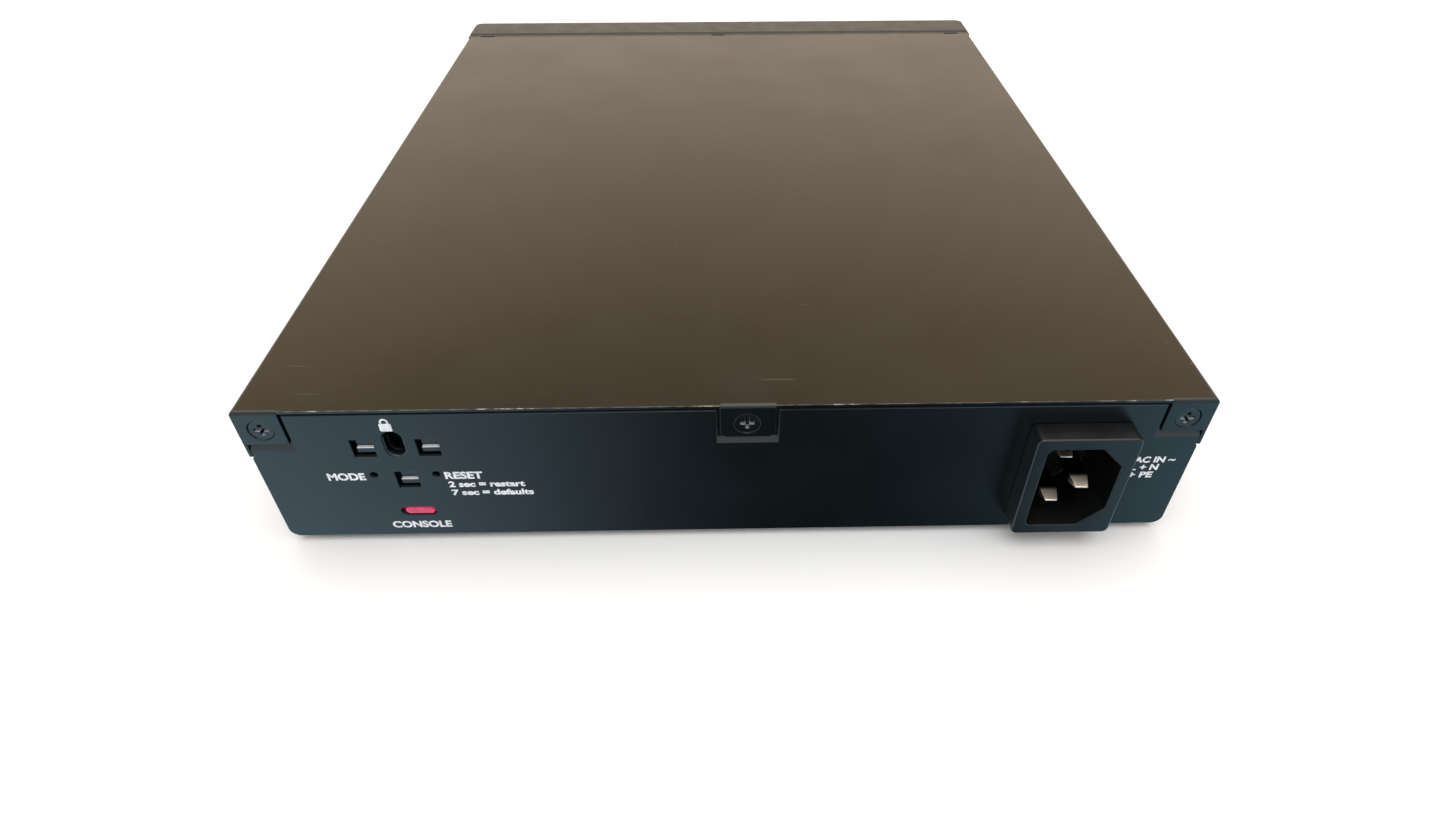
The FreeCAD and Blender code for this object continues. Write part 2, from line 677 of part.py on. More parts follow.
def inlet_body():
    """Moulded mains inlet: a proud shroud in front of the panel and a body behind it."""
    face = REAR - INLET_PROUD
    flange_x = span(INLET[0], INLET_FLANGE[0])
    flange_z = span(INLET[1], INLET_FLANGE[1])
    shroud = rounded_block(flange_x, (face, REAR - FIT_GAP), flange_z, 1, INLET_ROUND)
    rim = edges_where(shroud, lambda p: near(p.y, face))
    shroud = shroud.makeFillet(EDGE_BREAK, rim)
    body_x = span(INLET[0], INLET_BODY[0])
    body_z = span(INLET[1], INLET_BODY[1])
    body = block(body_x, (REAR - EDGE_BREAK, face + INLET_DEPTH), body_z)
    inlet = shroud.fuse(body)
    inlet = inlet.cut(cavity_solid(0, (face - REACH, face + CAVITY_DEPTH)))
    for blade in inlet_pins().values():
        inlet = inlet.cut(blade)
    return inlet


def board_with_holes(outline, spots, top):
    """Circuit board with a screw hole at each spot."""
    board = outline
    for spot in spots:
        board = board.cut(can(spot, BOARD_SCREW_R + FIT_GAP, BOARD + 2 * REACH, top - BOARD - REACH))
    return board


def main_board():
    """L-shaped switch board that leaves the rear corner on the inlet side to the supply."""
    z = (MAIN_BOTTOM, MAIN_TOP)
    wide = block((-BOARD_SIDE, BOARD_SIDE), (MAIN_STEP_Y, BOARD_FRONT), z)
    neck = block((-BOARD_SIDE, MAIN_NECK_X), (BOARD_REAR, MAIN_STEP_Y + FOLD), z)
    return board_with_holes(wide.fuse(neck).removeSplitter(), MAIN_SPOTS, MAIN_TOP)


def psu_board():
    """Board of the mains supply."""
    return board_with_holes(block(PSU_X, PSU_Y, (PSU_TOP - BOARD, PSU_TOP)), PSU_SPOTS, PSU_TOP)


def standoffs(spots, top):
    """Tapped pillars between the pan floor and a board."""
    height = top - BOARD - FLOOR_INSIDE
    pillars = []
    for spot in spots:
        pillar = can(spot, STANDOFF_R, height, FLOOR_INSIDE)
        pillars.append(pillar.cut(can(spot, BOARD_SCREW_R, height + REACH, FLOOR_INSIDE)))
    return group(pillars)


def board_screws():
    """Pan-head screws of both boards."""
    screws = []
    for spots, top in ((MAIN_SPOTS, MAIN_TOP), (PSU_SPOTS, PSU_TOP)):
        for spot in spots:
            head = can(spot, BOARD_HEAD_R, BOARD_HEAD, top)
            shank = can(spot, BOARD_SCREW_R - FIT_GAP, BOARD + 2 * BOARD_HEAD, top - BOARD - BOARD_HEAD)
            screws.append(head.fuse(shank))
    return group(screws)


def column_centres(centre_x, columns):
    """Middle of each port column of a block."""
    first = centre_x - (columns - 1) * PORT_PITCH / 2
    return [first + i * PORT_PITCH for i in range(columns)]


def port_space(x, z, latch, y):
    """Plug space of one port, with its stepped latch groove above or below."""
    mouth = block(span(x, PORT_OPENING[0]), y, span(z, PORT_OPENING[1]))
    edge = z + latch * PORT_OPENING[1] / 2
    wide = block(span(x, PORT_TAB[0]), y, span(edge, 2 * PORT_TAB[1]))
    reach = PORT_TAB[1] + PORT_TAB_SLOT[1]
    narrow = block(span(x, PORT_TAB_SLOT[0]), y, span(edge, 2 * reach))
    return mouth.multiFuse([wide, narrow])


def port_spaces(centre_x, columns, y):
    """Plug spaces of a whole two-row block: latches below in the lower row, above in the upper."""
    spaces = []
    for x in column_centres(centre_x, columns):
        spaces.append(port_space(x, PORT_ROWS[0], -1, y))
        spaces.append(port_space(x, PORT_ROWS[1], 1, y))
    return spaces


def port_housing(centre_x, columns):
    """Plastic body of a two-row port block."""
    y = (BLOCK_FRONT - BLOCK_DEPTH + SHIELD, BLOCK_FRONT - SHIELD)
    body = port_cut(centre_x, columns, -SHIELD, y)
    for space in port_spaces(centre_x, columns, (BLOCK_FRONT - PORT_DEPTH, FRONT)):
        body = body.cut(space)
    return body


def port_shield(centre_x, columns):
    """Folded tin shell round a port block, open below."""
    shell = port_cut(centre_x, columns, 0, (BLOCK_FRONT - BLOCK_DEPTH, BLOCK_FRONT))
    inside = port_cut(centre_x, columns, -SHIELD, (BLOCK_FRONT - BLOCK_DEPTH + SHIELD, BLOCK_FRONT - SHIELD))
    shell = shell.cut(inside)
    across = grown(span(centre_x, columns * PORT_PITCH), REACH)
    shell = shell.cut(block(across, (0, BLOCK_FRONT - SHIELD), (0, MAIN_TOP + SHIELD)))
    for space in port_spaces(centre_x, columns, (BLOCK_FRONT - SHIELD - REACH, FRONT)):
        shell = shell.cut(space)
    return shell


def port_contacts(centre_x, columns):
    """Gilt spring wires of each port, eight side by side and slanting down from the back."""
    wires = []
    width, length, thick = CONTACT_SIZE
    for x in column_centres(centre_x, columns):
        for z, latch in ((PORT_ROWS[0], -1), (PORT_ROWS[1], 1)):
            for i in range(CONTACTS):
                wire_x = x + (i - (CONTACTS - 1) / 2) * CONTACT_PITCH
                wire = Part.makeBox(width, length, thick, Vector(-width / 2, -length / 2, -thick / 2))
                turn = Rotation(Vector(1, 0, 0), latch * CONTACT_SLANT)
                middle_y = BLOCK_FRONT - PORT_DEPTH + length / 2 + FIT_GAP
                wire.Placement = Placement(Vector(wire_x, middle_y, z - latch * CONTACT_LIFT), turn)
                wires.append(wire)
    return group(wires)


def sfp_cage(x):
    """Folded tin cage for one pluggable optical module."""
    width, length, height = CAGE_SIZE
    y = (CAGE_FRONT - length, CAGE_FRONT)
    cage = block(span(x, width), y, (MAIN_TOP, MAIN_TOP + height))
    inside_y = (y[0] + CAGE_WALL, CAGE_FRONT + REACH)
    inside_z = (MAIN_TOP + CAGE_WALL, MAIN_TOP + height - CAGE_WALL)
    cage = cage.cut(block(span(x, width - 2 * CAGE_WALL), inside_y, inside_z))
    under_y = (y[0], y[0] + 2 * EDGE_CONNECTOR[1])
    return cage.cut(block(span(x, EDGE_CONNECTOR[0] + FOLD), under_y, (0, MAIN_TOP + REACH / 2)))


def sfp_connectors():
    """Edge connectors at the back of the cages."""
    width, length, height = EDGE_CONNECTOR
    back = CAGE_FRONT - CAGE_SIZE[1] + CAGE_WALL + FIT_GAP
    bodies = []
    for x in CAGE_X:
        body = block(span(x, width), (back, back + length), (MAIN_TOP, MAIN_TOP + height))
        slot_z = span(MAIN_TOP + height / 2, EDGE_SLOT)
        bodies.append(body.cut(block(span(x, width - 2 * FOLD), (back + FOLD, back + 2 * length), slot_z)))
    return group(bodies)


def port_pipe_spots():
    """Where the indicator light pipes come out above the port columns."""
    spots = []
    for x in column_centres(DOWNLINK_X, DOWNLINK_COLUMNS) + column_centres(UPLINK_X, UPLINK_COLUMNS):
        spots += [(x - PORT_PIPE_SHIFT, PORT_PIPE_Z), (x + PORT_PIPE_SHIFT, PORT_PIPE_Z)]
    return spots


def light_pipe(x, z, back):
    """Clear pipe that runs forward from a turn above its lamp on the board."""
    forward = rod_y(x, z, PIPE_R, (back - PIPE_R, FRONT - BEZEL_LIP_DROP))
    upright = can((x, back), PIPE_R, z - MAIN_TOP - FOLD, MAIN_TOP + FOLD)
    return forward.fuse(upright)


def port_light_pipes():
    """Two pipes above each port column."""
    return group([light_pipe(x, z, PORT_PIPE_BACK) for x, z in port_pipe_spots()])


def status_light_pipes():
    """Pipes of the system indicators, one row behind another on the board."""
    pipes = []
    for i, (x, z) in enumerate(STATUS_PIPES):
        pipes.append(light_pipe(x, z, STATUS_BACK - (len(STATUS_PIPES) - i) * 4 * PIPE_R))
    return group(pipes)


def front_bezel():
    """Moulded front frame: face, top and sides, stepped down where it meets the cover."""
    half = BEZEL_WIDTH / 2
    frame = block((-half, half), (SEAM + SEAM_GAP / 2, FRONT), (FLOOR, TOP))
    front_edges = edges_where(frame, lambda p: near(p.y, FRONT))
    frame = frame.makeFillet(BEZEL_ROUND, [edge for edge in front_edges if near(edge.BoundBox.XLength, 0)])
    rim = edges_where(frame, lambda p: near(p.z, TOP) and p.y > SEAM + FOLD)
    frame = frame.makeFillet(EDGE_BREAK, rim)
    room_x = (BEZEL_WALL - half, half - BEZEL_WALL)
    room = block(room_x, (SEAM - REACH, FRONT - BEZEL_FACE), (FLOOR - REACH, TOP - BEZEL_WALL))
    frame = frame.cut(room)
    across = (-half - REACH, half + REACH)
    frame = frame.cut(block(across, (SEAM, SEAM + BEZEL_BACK_LIP), (TOP - BEZEL_LIP_DROP, TOP + REACH)))
    for x in BEZEL_SLOT_X:
        notch_y = (SEAM, SEAM + SEAM_GAP + BEZEL_SLOT[1])
        frame = frame.cut(block(span(x, BEZEL_SLOT[0]), notch_y, (TOP - BEZEL_WALL + FOLD / 2, TOP + REACH)))
    face_y = beyond(FRONT - BEZEL_FACE, FRONT)
    for cutter in front_cuts(face_y, CUT_GAP) + grille_cuts(face_y):
        frame = frame.cut(cutter)
    return frame


def riser_board():
    """Upright board that carries the two buttons."""
    return block(RISER_X, RISER_Y, RISER_Z)


def switch_body(name):
    """Case of one push button, bored for its plunger."""
    x, z = PINHOLES[name]
    y = (RISER_Y[0] - SWITCH_BODY, RISER_Y[0])
    body = rounded_block(span(x, SWITCH_SIDE), y, span(z, SWITCH_SIDE), 1, EDGE_BREAK)
    bore = (y[0] - REACH, y[0] + PLUNGER_IN + PLUNGER_ROOM)
    return body.cut(rod_y(x, z, PLUNGER_R + PLUNGER_GAP, bore))


def button(name):
    """Plunger of one push button."""
    x, z = PINHOLES[name]
    face = RISER_Y[0] - SWITCH_BODY
    plunger = rod_y(x, z, PLUNGER_R, (face - PLUNGER_OUT, face + PLUNGER_IN))
    tip = edges_where(plunger, lambda p: near(p.y, face - PLUNGER_OUT))
    return plunger.makeChamfer(EDGE_BREAK / 2, [edge for edge in tip if edge.Closed])


def console_shell():
    """Metal shell of the console socket."""
    shell = pill(*CONSOLE, *SHELL_OUT, SHELL_Y)
    return shell.cut(pill(*CONSOLE, *SHELL_IN, (SHELL_Y[0] - REACH, SHELL_Y[1] - SHELL_BACK)))


def console_tongue():
    """Contact tongue inside the console socket, on its base."""
    tongue_y = (TONGUE_START, SHELL_Y[1] - SHELL_BACK)
    tongue = block(span(CONSOLE[0], TONGUE[0]), tongue_y, span(CONSOLE[1], TONGUE[1]))
    base_y = (SHELL_Y[1] - SHELL_BACK - FOLD, SHELL_Y[1] - SHELL_BACK)
    base = pill(*CONSOLE, SHELL_IN[0] - 2 * FIT_GAP, SHELL_IN[1] - 2 * FIT_GAP, base_y)
    return tongue.fuse(base)


def console_plug():
    """Soft dust plug in the console socket, hollow round the tongue."""
    x, z = CONSOLE
    head = pill(x + PLUG_HEAD_SHIFT, z, *PLUG_HEAD, (PLUG_FACE, PLUG_STEP + FOLD))
    plug = head.fuse(pill(x, z, *PLUG_BODY, (PLUG_STEP, PLUG_FACE + PLUG_LENGTH)))
    rim = edges_where(plug, lambda p: near(p.y, PLUG_FACE))
    plug = plug.makeFillet(EDGE_BREAK, rim)
    slot_x = span(CONSOLE[0], TONGUE[0] + 2 * PLUG_SLOT_GAP)
    slot_z = span(CONSOLE[1], TONGUE[1] + 2 * PLUG_SLOT_GAP)
    slot_y = (TONGUE_START - 2 * PLUG_SLOT_GAP, PLUG_FACE + PLUG_LENGTH + REACH)
    return plug.cut(block(slot_x, slot_y, slot_z))


def rubber_feet():
    """Round stick-on feet with a softened lower rim."""
    feet = []
    for spot in FOOT_SPOTS:
        foot = can(spot, FOOT_R, FOOT_HEIGHT, 0)
        rim = [edge for edge in foot.Edges if edge.Closed and near(edge.CenterOfMass.z, 0)]
        feet.append(foot.makeFillet(FOOT_RIM, rim))
    return group(feet)


def ear_inserts():
    """Flush threaded inserts of the rack ears, four on each side."""
    inserts = []
    wall = PAN_WIDTH / 2
    for side in (-1, 1):
        shank_x = tuple(sorted((side * wall, side * (wall - PAN_SHEET - EAR_HEAD))))
        head_x = tuple(sorted((side * (wall - PAN_SHEET - FIT_GAP), side * (wall - PAN_SHEET - EAR_HEAD))))
        for y, z in ear_spots():
            insert = rod_x(y, z, EAR_SHANK_R, shank_x).fuse(rod_x(y, z, EAR_HEAD_R, head_x))
            inserts.append(insert.cut(rod_x(y, z, EAR_BORE_R, beyond(*shank_x))))
    return group(inserts)


def transformer_core():
    """Ferrite E core with two windows for the winding."""
    core = standing(TRANSFORMER_AT, TRANSFORMER_CORE, PSU_TOP + FOLD)
    leg = TRANSFORMER_CORE[0] / 2 - TRANSFORMER_WINDOW[1]
    window_z = span(PSU_TOP + FOLD + TRANSFORMER_CORE[2] / 2, TRANSFORMER_COIL[2] + 2 * FIT_GAP)
    for side in (-1, 1):
        x = TRANSFORMER_AT[0] + side * (leg + TRANSFORMER_WINDOW[0] / 2) / 2
        depth = beyond(*span(TRANSFORMER_AT[1], TRANSFORMER_CORE[1]))
        core = core.cut(block(span(x, TRANSFORMER_WINDOW[0] - TRANSFORMER_WINDOW[1]), depth, window_z))
    return core


def transformer_winding():
    """Taped winding round the core's middle leg."""
    window_z = span(PSU_TOP + FOLD + TRANSFORMER_CORE[2] / 2, TRANSFORMER_COIL[2])
    coil_y = span(TRANSFORMER_AT[1], TRANSFORMER_COIL[1])
    coil = rounded_block(span(TRANSFORMER_AT[0], TRANSFORMER_COIL[0]), coil_y, window_z, 2, COIL_ROUND)
    return coil.cut(transformer_core())


def cans(spots, radius, height, base):
    """Row of round capacitors with a softened top rim."""
    row = []
    for spot in spots:
        body = can(spot, radius, height, base)
        rim = [edge for edge in body.Edges if edge.Closed and near(edge.CenterOfMass.z, base + height)]
        row.append(body.makeFillet(EDGE_BREAK, rim))
    return group(row)


def common_mode_choke():
    """Toroid choke lying on the supply board."""
    ring, thick = CHOKE_RING
    return Part.makeTorus(ring, thick, Vector(*CHOKE_AT, PSU_TOP + thick))


def mains_fuse():
    """Ceramic fuse between two end caps."""
    radius, length = FUSE
    z = PSU_TOP + FUSE_LIFT
    x = span(FUSE_AT[0], length)
    return rod_x(FUSE_AT[1], z, radius, x)


def fuse_clips():
    """Spring clips that hold the fuse."""
    radius, length = FUSE
    z = PSU_TOP + FUSE_LIFT
    clips = []
    for side in (-1, 1):
        x = span(FUSE_AT[0] + side * (length / 2 - FUSE_CLIP), FUSE_CLIP)
        leg = block(x, span(FUSE_AT[1], 2 * radius + 2 * FOLD), (PSU_TOP, z))
        clips.append(leg.cut(rod_x(FUSE_AT[1], z, radius + FIT_GAP, beyond(*x))))
    return group(clips)


def supply_heatsinks():
    """Upright aluminium plates of the supply."""
    return group([standing(spot, HEATSINK_PLATE, PSU_TOP) for spot in HEATSINK_PLATES])


def power_transistors():
    """Transistors clamped to the supply's plates."""
    bodies = []
    for x, y in HEATSINK_PLATES:
        beside = x + HEATSINK_PLATE[0] / 2 + TRANSISTOR[0] / 2 + FIT_GAP
        bodies.append(standing((beside, y), TRANSISTOR, PSU_TOP + TRANSISTOR_LIFT))
    return group(bodies)


def supply_insulator():
    """Insulating sheet under the supply board."""
    z = FLOOR_INSIDE + FIT_GAP
    sheet = block(grown(PSU_X, FOLD), grown(PSU_Y, FOLD), (z, z + INSULATOR))
    for spot in PSU_SPOTS:
        sheet = sheet.cut(can(spot, STANDOFF_R + FIT_GAP, REACH, FLOOR))
    return sheet


def dc_connectors():
    """Low-voltage headers on the supply and on the main board."""
    return group([standing(DC_HEADER_AT, DC_HEADER, PSU_TOP), standing(DC_SOCKET_AT, DC_HEADER, MAIN_TOP)])


def dc_wire(x):
    """One wire that arches from the supply's header to the main board's."""
    start = Vector(x, DC_HEADER_AT[1], PSU_TOP + DC_HEADER[2] + FIT_GAP)
    end = Vector(x, DC_SOCKET_AT[1], MAIN_TOP + DC_HEADER[2] + FIT_GAP)
    crest = PSU_TOP + DC_HEADER[2] + DC_WIRE_RISE
    arc = DC_WIRE_ARC
    bend = arc * (1 - math.cos(math.pi / 4))
    rise_end = Vector(x, start.y, crest - arc)
    run_start = Vector(x, start.y + arc, crest)
    run_end = Vector(x, end.y - arc, crest)
    fall_start = Vector(x, end.y, crest - arc)
    edges = [
        Part.LineSegment(start, rise_end).toShape(),
        Part.Arc(rise_end, Vector(x, start.y + bend, crest - bend), run_start).toShape(),
        Part.LineSegment(run_start, run_end).toShape(),
        Part.Arc(run_end, Vector(x, end.y - bend, crest - bend), fall_start).toShape(),
        Part.LineSegment(fall_start, end).toShape(),
    ]
    section = Part.Wire(Part.makeCircle(DC_WIRE_R, start, Vector(0, 0, 1)))
    return Part.Wire(edges).makePipeShell([section], True, False)


def dc_wires():
    """Ribbon of low-voltage wires."""
    first = DC_HEADER_AT[0] - (DC_WIRES - 1) * DC_WIRE_PITCH / 2
    return group([dc_wire(first + i * DC_WIRE_PITCH) for i in range(DC_WIRES)])


def mains_lead(shift_x, shift_z):
    """Stiff lead that turns down from one inlet terminal to the supply board."""
    x = INLET[0] + shift_x
    z = INLET[1] + shift_z
    start = Vector(x, REAR - INLET_PROUD + CAVITY_DEPTH + TERMINAL_LENGTH + FIT_GAP, z)
    bend_start = start + Vector(0, LEAD_RUN, 0)
    bend_end = bend_start + Vector(0, LEAD_BEND, -LEAD_BEND)
    part_way = LEAD_BEND * math.sin(math.pi / 4)
    middle = bend_start + Vector(0, part_way, part_way - LEAD_BEND)
    end = Vector(x, bend_end.y, PSU_TOP + FIT_GAP)
    edges = [
        Part.LineSegment(start, bend_start).toShape(),
        Part.Arc(bend_start, middle, bend_end).toShape(),
        Part.LineSegment(bend_end, end).toShape(),
    ]
    section = Part.Wire(Part.makeCircle(LEAD_R, start, Vector(0, 1, 0)))
    return Part.Wire(edges).makePipeShell([section], True, False)


def mains_leads():
    """The line, neutral and earth leads."""
    half = LIVE_PIN_PITCH / 2
    shifts = ((LIVE_PIN_SHIFT, half), (LIVE_PIN_SHIFT, -half), (EARTH_PIN_SHIFT, 0))
    return group([mains_lead(*shift) for shift in shifts])


def chip_heatsink():
    """Finned heat sink on the switch chip."""
    base_z = MAIN_TOP + SWITCH_CHIP[2] + PAD_THICKNESS
    sink = standing(SWITCH_CHIP_AT, HEATSINK, base_z)
    pitch = (HEATSINK[0] - FIN[0]) / (FIN_COUNT - 1)
    first = SWITCH_CHIP_AT[0] - HEATSINK[0] / 2 + FIN[0] / 2
    fins = []
    for i in range(FIN_COUNT):
        size = (FIN[0], HEATSINK[1], FIN[1] + FIT_GAP)
        fins.append(standing((first + i * pitch, SWITCH_CHIP_AT[1]), size, base_z + HEATSINK[2] - FIT_GAP))
    return sink.multiFuse(fins).removeSplitter()


def port_magnetics():
    """Row of isolating transformers behind the ports."""
    x, y = MAGNETICS_FIRST
    return board_parts([(x + i * MAGNETICS_PITCH, y) for i in range(MAGNETICS_COUNT)], MAGNETICS)


def board_parts(spots, size):
    """Identical square components on the main board."""
    return group([standing(spot, size, MAIN_TOP) for spot in spots])


def all_parts():
    """Every node's shape by name."""
    parts = {
        "chassis_base": chassis_base(),
        "top_cover": top_cover(),
        "front_bezel": front_bezel(),
        "cover_screws": cover_screws(),
        "cover_nuts": cover_nuts(),
        "lock_plate": lock_plate(),
        "slot_clip": slot_clip(),
        "inlet_body": inlet_body(),
        "main_board": main_board(),
        "supply_board": psu_board(),
        "main_board_standoffs": standoffs(MAIN_SPOTS, MAIN_TOP),
        "supply_board_standoffs": standoffs(PSU_SPOTS, PSU_TOP),
        "board_screws": board_screws(),
        "port_block_housing": port_housing(DOWNLINK_X, DOWNLINK_COLUMNS),
        "port_block_shield": port_shield(DOWNLINK_X, DOWNLINK_COLUMNS),
        "port_block_contacts": port_contacts(DOWNLINK_X, DOWNLINK_COLUMNS),
        "uplink_housing": port_housing(UPLINK_X, UPLINK_COLUMNS),
        "uplink_shield": port_shield(UPLINK_X, UPLINK_COLUMNS),
        "uplink_contacts": port_contacts(UPLINK_X, UPLINK_COLUMNS),
        "sfp_cage_1": sfp_cage(CAGE_X[0]),
        "sfp_cage_2": sfp_cage(CAGE_X[1]),
        "sfp_connectors": sfp_connectors(),
        "port_light_pipes": port_light_pipes(),
        "status_light_pipes": status_light_pipes(),
        "riser_board": riser_board(),
        "mode_switch_body": switch_body("mode"),
        "mode_button": button("mode"),
        "reset_switch_body": switch_body("reset"),
        "reset_button": button("reset"),
        "console_shell": console_shell(),
        "console_tongue": console_tongue(),
        "console_plug": console_plug(),
        "rubber_feet": rubber_feet(),
        "ear_inserts": ear_inserts(),
        "transformer_core": transformer_core(),
        "transformer_winding": transformer_winding(),
        "bulk_capacitors": cans(BULK_CAPS, *BULK_CAP, PSU_TOP),
        "output_capacitors": cans(OUTPUT_CAPS, *OUTPUT_CAP, PSU_TOP),
        "common_mode_choke": common_mode_choke(),
        "filter_capacitor": standing(X_CAP_AT, X_CAP, PSU_TOP),
        "mains_fuse": mains_fuse(),
        "fuse_clips": fuse_clips(),
        "supply_heatsinks": supply_heatsinks(),
        "power_transistors": power_transistors(),
        "supply_insulator": supply_insulator(),
        "dc_connectors": dc_connectors(),
        "dc_wires": dc_wires(),
        "mains_leads": mains_leads(),
        "switch_chip": standing(SWITCH_CHIP_AT, SWITCH_CHIP, MAIN_TOP),
        "thermal_pad": standing(SWITCH_CHIP_AT, (*SWITCH_CHIP[:2], PAD_THICKNESS), MAIN_TOP + SWITCH_CHIP[2]),
        "chip_heatsink": chip_heatsink(),
        "processor_chip": standing(CPU_AT, CPU, MAIN_TOP),
        "memory_chips": board_parts(MEMORY_SPOTS, MEMORY),
        "flash_chip": standing(FLASH_AT, FLASH, MAIN_TOP),
        "port_magnetics": port_magnetics(),
        "power_inductors": board_parts(INDUCTOR_SPOTS, INDUCTOR),
        "polymer_capacitors": cans(POLYMER_SPOTS, *POLYMER, MAIN_TOP),
    }
    parts.update(inlet_pins())
    return parts


os.makedirs("parts", exist_ok=True)
for name, shape in all_parts().items():
    shape.exportStep("parts/" + name + ".step")
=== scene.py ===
"""Looks of a half-rack network switch: folded steel case, mains inlet and front port bank."""

import logging
import math
from dataclasses import dataclass
from enum import Enum
from typing import ClassVar, Iterable, Optional, Sequence, Union

import bmesh
import bpy
from bmesh.types import BMEdge, BMesh, BMVert
from mathutils import Euler, Matrix, Vector
from mathutils.kdtree import KDTree


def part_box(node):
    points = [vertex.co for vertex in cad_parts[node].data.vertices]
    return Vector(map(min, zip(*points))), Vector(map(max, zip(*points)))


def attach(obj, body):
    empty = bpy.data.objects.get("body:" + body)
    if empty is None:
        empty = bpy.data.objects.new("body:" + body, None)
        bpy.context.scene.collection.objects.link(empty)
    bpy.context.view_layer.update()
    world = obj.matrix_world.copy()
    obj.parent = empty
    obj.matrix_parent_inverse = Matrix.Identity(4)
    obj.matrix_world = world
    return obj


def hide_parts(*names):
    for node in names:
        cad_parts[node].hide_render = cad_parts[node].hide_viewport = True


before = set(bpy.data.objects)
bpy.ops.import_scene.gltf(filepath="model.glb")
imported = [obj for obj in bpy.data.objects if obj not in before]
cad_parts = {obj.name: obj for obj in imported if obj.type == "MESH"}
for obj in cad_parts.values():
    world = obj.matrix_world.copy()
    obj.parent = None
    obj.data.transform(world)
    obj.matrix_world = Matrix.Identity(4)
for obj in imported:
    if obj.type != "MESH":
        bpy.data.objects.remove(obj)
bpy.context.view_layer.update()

MM = 0.001
CASE = "switch_case"
LOCK_HOLE_WIDTH = 5.6 * MM
INK_DEPTH = 0.02 * MM
# Bands of a noise's values: all that it reaches, ever narrower middles, its upper parts.
WHOLE, MOST, MIDDLE = (0.3, 0.7), (0.35, 0.65), (0.38, 0.62)
UPPER, PEAKS = (0.4, 0.7), (0.45, 0.75)
Colour = tuple[float, float, float]
Span = tuple[float, float]
Ramp = tuple[tuple[float, Colour], ...]
Socket = bpy.types.NodeSocket
Material = bpy.types.Material
Source = Union[Socket, float]
Paint = Union[Socket, Colour]
LOG = logging.getLogger("switch")


# ---- node graphs


class Tree:
    """A node tree that grows node by node."""

    def __init__(self, tree: bpy.types.NodeTree) -> None:
        """Takes over a material's or the world's tree."""
        self.tree = tree

    def feed(self, socket: Socket, value: Source) -> None:
        """Links a socket to another one, or sets its number."""
        if isinstance(value, bpy.types.NodeSocket):
            self.tree.links.new(value, socket)
        else:
            socket.default_value = value

    def add(self, kind: str, **inputs: object) -> bpy.types.Node:
        """Adds a node with its inputs fed; an underscore in a name stands for a space."""
        node = self.tree.nodes.new(kind)
        for name, value in inputs.items():
            self.feed(node.inputs[name.replace("_", " ")], value)
        return node

    def spread(
        self, value: Source, low: float, high: float, start: float = 0.0, end: float = 1.0
    ) -> Socket:
        """Maps a value between two levels to a new span, clamped.

        Args:
            value: the socket to map.
            low: level that gives start.
            high: level that gives end.
            start: result at and beyond low.
            end: result at and beyond high.

        Returns:
            The mapped value.
        """
        levels = {"From_Min": low, "From_Max": high, "To_Min": start, "To_Max": end}
        return self.add("ShaderNodeMapRange", Value=value, **levels).outputs["Result"]

    def blend(self, factor: Source, low: Paint, high: Paint) -> Socket:
        """Mixes two colours: all of the low one at factor 0, all of the high one at 1."""
        node = self.add("ShaderNodeMix")
        node.data_type = "RGBA"
        self.feed(node.inputs[0], factor)
        for index, colour in ((6, low), (7, high)):
            self.feed(node.inputs[index], (*colour, 1.0) if isinstance(colour, tuple) else colour)
        return node.outputs[2]


